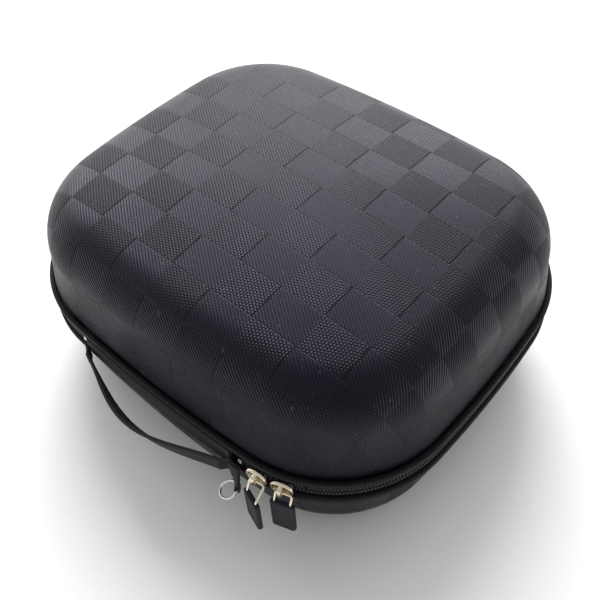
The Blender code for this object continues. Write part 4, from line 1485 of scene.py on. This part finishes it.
@dataclass
class Slider:
    """Open-work oval slider: rim, recessed plate with two slots, and an arched bridge."""

    side: str
    angle: float
    pull: Pull
    length: float = 10.2 * MM
    height: float = 8.4 * MM
    rim: float = 1.25 * MM
    outer: float = 1.8 * MM
    bridge_out: float = 4.1 * MM
    bridge_span: float = 2.9 * MM
    bridge_wide: float = 1.8 * MM
    bridge_foot: float = 0.5 * MM
    bridge_thick: float = 0.8 * MM
    bridge_bend: float = 1.3 * MM
    rim_middle: float = 0.75 * MM
    rim_half: float = 1.05 * MM
    bar_x: float = 2.75 * MM
    bar_y: float = 0.55 * MM
    bar_half: Pair = (0.42 * MM, 0.45 * MM)

    def place(self) -> Matrix:
        """Frame of the slider: X runs back along the zip, Y out of the case and Z up."""
        spot = PLAN.point(self.angle, 0.0, PARTING_Z)
        outward = Vector((cos(self.angle), sin(self.angle), 0.0))
        along = Vector((sin(self.angle), -cos(self.angle), 0.0))
        turn = Matrix((along, outward, Vector((0.0, 0.0, 1.0)))).transposed().to_4x4()
        return Matrix.Translation(spot) @ turn

    def build(self) -> None:
        """Build the slider's metal pieces and its pull."""
        place, body = self.place(), f"{self.side}_slider"
        for piece in (self.rim_piece(), self.plate_piece(), self.bridge_piece(), *self.lugs()):
            piece.data.transform(place)
            dress(piece, Stuff.GOLD, body, f"{self.side}_slider_body")
        self.pull.build(self.side, place)

    def oval(self, inset: float, y: float, points: int = 56) -> Row:
        """Oval of the slider, moved inwards, at a distance out."""
        long, tall = self.length / 2 - inset, self.height / 2 - inset
        return [Vector((a * long, y, b * tall)) for a, b in oval_section(points, 2.5)]

    def rim_piece(self) -> bpy.types.Object:
        """Rounded rim that stands proud all round."""
        rows, radius = [], self.rim / 2
        for point, away in zip(self.oval(radius, 0.0), self.oval(0.0, 0.0)):
            spoke = (away - point).normalized()
            row = []
            for a, b in oval_section(14, 2.6):
                out = Vector((0.0, self.rim_middle + b * self.rim_half, 0.0))
                row.append(point + spoke * a * radius + out)
            rows.append(row)
        uvs = [[(0.0, 0.0)] * (len(rows[0]) + 1) for _ in range(len(rows) + 1)]
        return Skin(f"{self.side}_slider_rim", rows, uvs, loop=True).build()

    def plate_piece(self) -> bpy.types.Object:
        """Thin plate across the back of the rim, with its edge under the rim."""
        levels = [(1.6, 0.15), (0.55, 0.15), (0.45, 0.0), (0.45, -0.5), (0.9, -0.7), (1.6, -0.7)]
        rows = [self.oval(inset * MM, y * MM) for inset, y in levels]
        uvs = [[(0.0, 0.0)] * (len(rows[0]) + 1) for _ in rows]
        return Skin(f"{self.side}_slider_plate", rows, uvs, sharp=50.0).build()

    def bridge_piece(self) -> bpy.types.Object:
        """Arched bridge, upright across the plate, that the bail hangs from."""
        low, span = self.bridge_foot, self.bridge_span
        corners = [
            Vector((0.0, low, -span)),
            Vector((0.0, self.bridge_out, -span * 0.8)),
            Vector((0.0, self.bridge_out, span * 0.8)),
            Vector((0.0, low, span)),
        ]
        path = smooth_path(corners, self.bridge_bend)
        wide = [Vector((self.bridge_wide / 2, 0.0, 0.0)) for _ in path]
        thick = []
        for before, after in zip(path[:1] + path, path[1:] + path[-1:]):
            ahead = (after - before).normalized()
            thick.append(ahead.cross(Vector((1.0, 0.0, 0.0))) * self.bridge_thick / 2)
        return sweep(f"{self.side}_slider_bridge", path, wide, thick, oval_section(16, 3.0))

    def lugs(self) -> list[bpy.types.Object]:
        """Two cross bars inside the rim that leave the two slots between them."""
        bars = []
        for label, x in (("front", -self.bar_x), ("back", self.bar_x)):
            path = [Vector((x, self.bar_y, z * MM)) for z in (-3.0, -1.0, 1.0, 3.0)]
            wide = [Vector((self.bar_half[0], 0.0, 0.0)) for _ in path]
            thick = [Vector((0.0, self.bar_half[1], 0.0)) for _ in path]
            bars.append(sweep(f"{self.side}_slider_bar_{label}", path, wide, thick, oval_section(12, 2.6)))
        return bars


# ------------------------------------------------------------------ pocket


@dataclass
class Pocket:
    """Net pocket inside the lid, with an elastic top edge and a bound rim."""

    inset: float = 15.5 * MM
    cell: float = 3.2 * MM
    yarn: float = 0.22 * MM
    bend: float = 0.23
    binding: Pair = (-1.6 * MM, -0.3 * MM)
    binding_round: float = 0.5 * MM
    net_margin: float = 0.6 * MM
    ribs: int = 120
    rib_depth: float = 0.1
    stitch_edge: float = 1.2 * MM

    def build(self) -> None:
        """Build the net, its elastic and its binding."""
        self.net()
        self.elastic()
        low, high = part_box("pocket_binding")
        outer, inner = (self.inset + shift for shift in self.binding)
        section = rounded_box(outer, inner, low.z, high.z, self.binding_round)
        angles = PLAN.stations(-pi - PLAN.angle_x, PLAN.angle_x, 3.0 * MM)
        dress(band("pocket_binding_cloth", section, angles), Stuff.PIPING, "lid", "pocket_binding")
        path = [PLAN.point(a, (outer + inner) / 2, low.z) for a in angles]
        stitches("pocket_binding_stitches", path, 3.0 * MM, "lid")

    def edge_x(self, y: float) -> float:
        """Half-width of the pocket at this Y."""
        corner_y = PLAN.corner_y
        if y < -corner_y:
            reach = (PLAN.radius - self.inset) ** 2 - (y + corner_y) ** 2
            return PLAN.corner_x + max(reach, 0.0) ** 0.5
        reach = (PLAN.radius_x - self.inset) ** 2 - y**2
        return PLAN.half_length - PLAN.radius_x + reach**0.5

    def net(self) -> None:
        """Zigzag yarns whose bends touch, so that they leave six-sided holes."""
        low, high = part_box("pocket_net")
        z = (low.z + high.z) / 2
        rows = int((high.y - low.y) / (self.cell / 2)) - 1
        places, lines = [], []
        for row in range(rows):
            y = low.y + (row + 1) * self.cell / 2
            half = self.edge_x(y) - self.net_margin
            count = int(2 * half / (self.cell / 2))
            first = len(places)
            for k in range(count + 1):
                x = (k - count // 2) * self.cell / 2
                if abs(x) > half:
                    continue
                flip = 1.0 if (k - count // 2 + row) % 2 else -1.0
                places.append((x, y + flip * self.cell * self.bend, z))
            lines += [(k, k + 1) for k in range(first, len(places) - 1)]
        seed = bpy.data.meshes.new("net_seed")
        seed.from_pydata(places, lines, [])
        settings = {"Radius": self.yarn, "Material": Stuff.NET.material()}
        dress(grow(seed, "pocket_net_yarn", STRANDS, settings), Stuff.NET, "lid", "pocket_net")

    def elastic(self) -> None:
        """Ribbed elastic band across the pocket's open edge."""
        low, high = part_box("pocket_elastic")
        middle, half = (low + high) / 2, (high - low) / 2
        count = self.ribs
        path = [Vector((low.x + 2 * half.x * k / count, middle.y, middle.z)) for k in range(count + 1)]
        wide = [Vector((0.0, half.y, 0.0)) for _ in path]
        thick = [Vector((0.0, 0.0, half.z * (1 - self.rib_depth * (1 - k % 2)))) for k in range(count + 1)]
        band_piece = sweep("pocket_elastic_cloth", path, wide, thick, oval_section(24, 6.0))
        dress(band_piece, Stuff.WEBBING, "lid", "pocket_elastic")
        for label, y in (("low", low.y + self.stitch_edge), ("high", high.y - self.stitch_edge)):
            row = [Vector((p.x, y, low.z)) for p in path[2:-2:4]]
            stitches(f"pocket_elastic_stitches_{label}", row, 2.6 * MM, "lid")


# ------------------------------------------------------------------ studio


@dataclass
class Studio:
    """Camera, pale floor, a broad sun from behind and an uneven sky."""

    azimuth: float = radians(42.596)
    elevation: float = radians(50.880)
    roll: float = radians(-2.907)
    place: Vector = field(default_factory=lambda: Vector((173.043, -186.767, 336.450)) * MM)
    sensor: float = 36.0
    lens: float = 45.432
    floor_size: float = 6.0
    sun: float = 2.5
    sun_spread: float = radians(34.0)
    sun_height: float = radians(40.0)
    sky_front: float = 0.51
    sky_back: float = 2.6
    sky_edge: Pair = (0.15, 0.95)
    paper_grain: float = 220.0

    def build(self) -> None:
        """Build the studio."""
        self.camera()
        self.floor()
        self.lights()
        self.world()
        bpy.context.scene.view_settings.view_transform = "Standard"

    def camera(self) -> None:
        """Camera at its measured place."""
        az, el = self.azimuth, self.elevation
        back = Vector((sin(az) * cos(el), -cos(az) * cos(el), sin(el)))
        right = Vector((cos(az), sin(az), 0.0))
        up = back.cross(right)
        side = right * cos(self.roll) + up * sin(self.roll)
        top = up * cos(self.roll) - right * sin(self.roll)
        data = bpy.data.cameras.new("camera")
        data.sensor_width = self.sensor
        data.lens = self.lens
        data.clip_start = 0.01
        data.clip_end = 20.0
        camera = bpy.data.objects.new("camera", data)
        turn = Matrix((side, top, back)).transposed().to_4x4()
        camera.matrix_world = Matrix.Translation(self.place) @ turn
        bpy.context.scene.collection.objects.link(camera)
        bpy.context.scene.camera = camera

    def floor(self) -> None:
        """Plain pale sweep of paper under the case."""
        half = self.floor_size / 2
        mesh = bpy.data.meshes.new("floor")
        corners = [(-half, -half, 0.0), (half, -half, 0.0), (half, half, 0.0), (-half, half, 0.0)]
        mesh.from_pydata(corners, [], [(0, 1, 2, 3)])
        paper = bpy.data.materials.new("paper")
        paper.use_nodes = True
        sheet = Sheet(paper.node_tree)
        shader = paper.node_tree.nodes["Principled BSDF"]
        place = sheet.node("ShaderNodeTexCoord")
        grain = sheet.noise(place.outputs["Object"], self.paper_grain, 2.0)
        colour = sheet.mix(grain, (0.945, 0.945, 0.945, 1.0), (0.965, 0.965, 0.965, 1.0))
        sheet.feed(shader.inputs["Base Color"], colour)
        shader.inputs["Roughness"].default_value = 0.9
        shader.inputs["Specular IOR Level"].default_value = 0.0
        mesh.materials.append(paper)
        link("floor", mesh)

    def lights(self) -> None:
        """A broad sun from behind, which draws the lid's sheen."""
        data = bpy.data.lights.new("key", "SUN")
        data.energy = self.sun
        data.angle = self.sun_spread
        key = bpy.data.objects.new("key", data)
        low = cos(self.sun_height)
        away = Vector((-sin(self.azimuth) * low, cos(self.azimuth) * low, sin(self.sun_height)))
        key.rotation_euler = away.to_track_quat("Z", "Y").to_euler()
        bpy.context.scene.collection.objects.link(key)

    def world(self) -> None:
        """Sky that is brighter behind the case than in front of it."""
        world = bpy.data.worlds.new("studio")
        world.use_nodes = True
        bpy.context.scene.world = world
        sheet = Sheet(world.node_tree)
        place = sheet.node("ShaderNodeTexCoord")
        lean = sheet.node("ShaderNodeVectorMath", operation="DOT_PRODUCT")
        sheet.feed(lean.inputs[0], place.outputs["Generated"])
        lean.inputs[1].default_value = (-sin(self.azimuth), cos(self.azimuth), 0.0)
        share = sheet.span(lean.outputs["Value"], *self.sky_edge)
        backdrop = world.node_tree.nodes["Background"]
        backdrop.inputs["Color"].default_value = (1.0, 1.0, 1.0, 1.0)
        sheet.feed(backdrop.inputs["Strength"], sheet.mix(share, self.sky_front, self.sky_back, colour=False))


def main() -> None:
    logging.basicConfig(level=logging.INFO, format="%(name)s: %(message)s")
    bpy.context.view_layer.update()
    Shells().build()
    Zip().build()
    FabricHinge().build()
    Handle().build()
    Tether().build()
    Pocket().build()
    right = Pull(shift=-1.75 * MM, out=5.1 * MM, drop=4.2 * MM, turn=0.0)
    left = Pull(shift=-1.75 * MM, out=7.8 * MM, drop=5.2 * MM, turn=radians(-27.0))
    Slider("right", radians(-71.2), right).build()
    Slider("left", radians(-82.1), left).build()
    Studio().build()


if __name__ == "__main__":
    main()
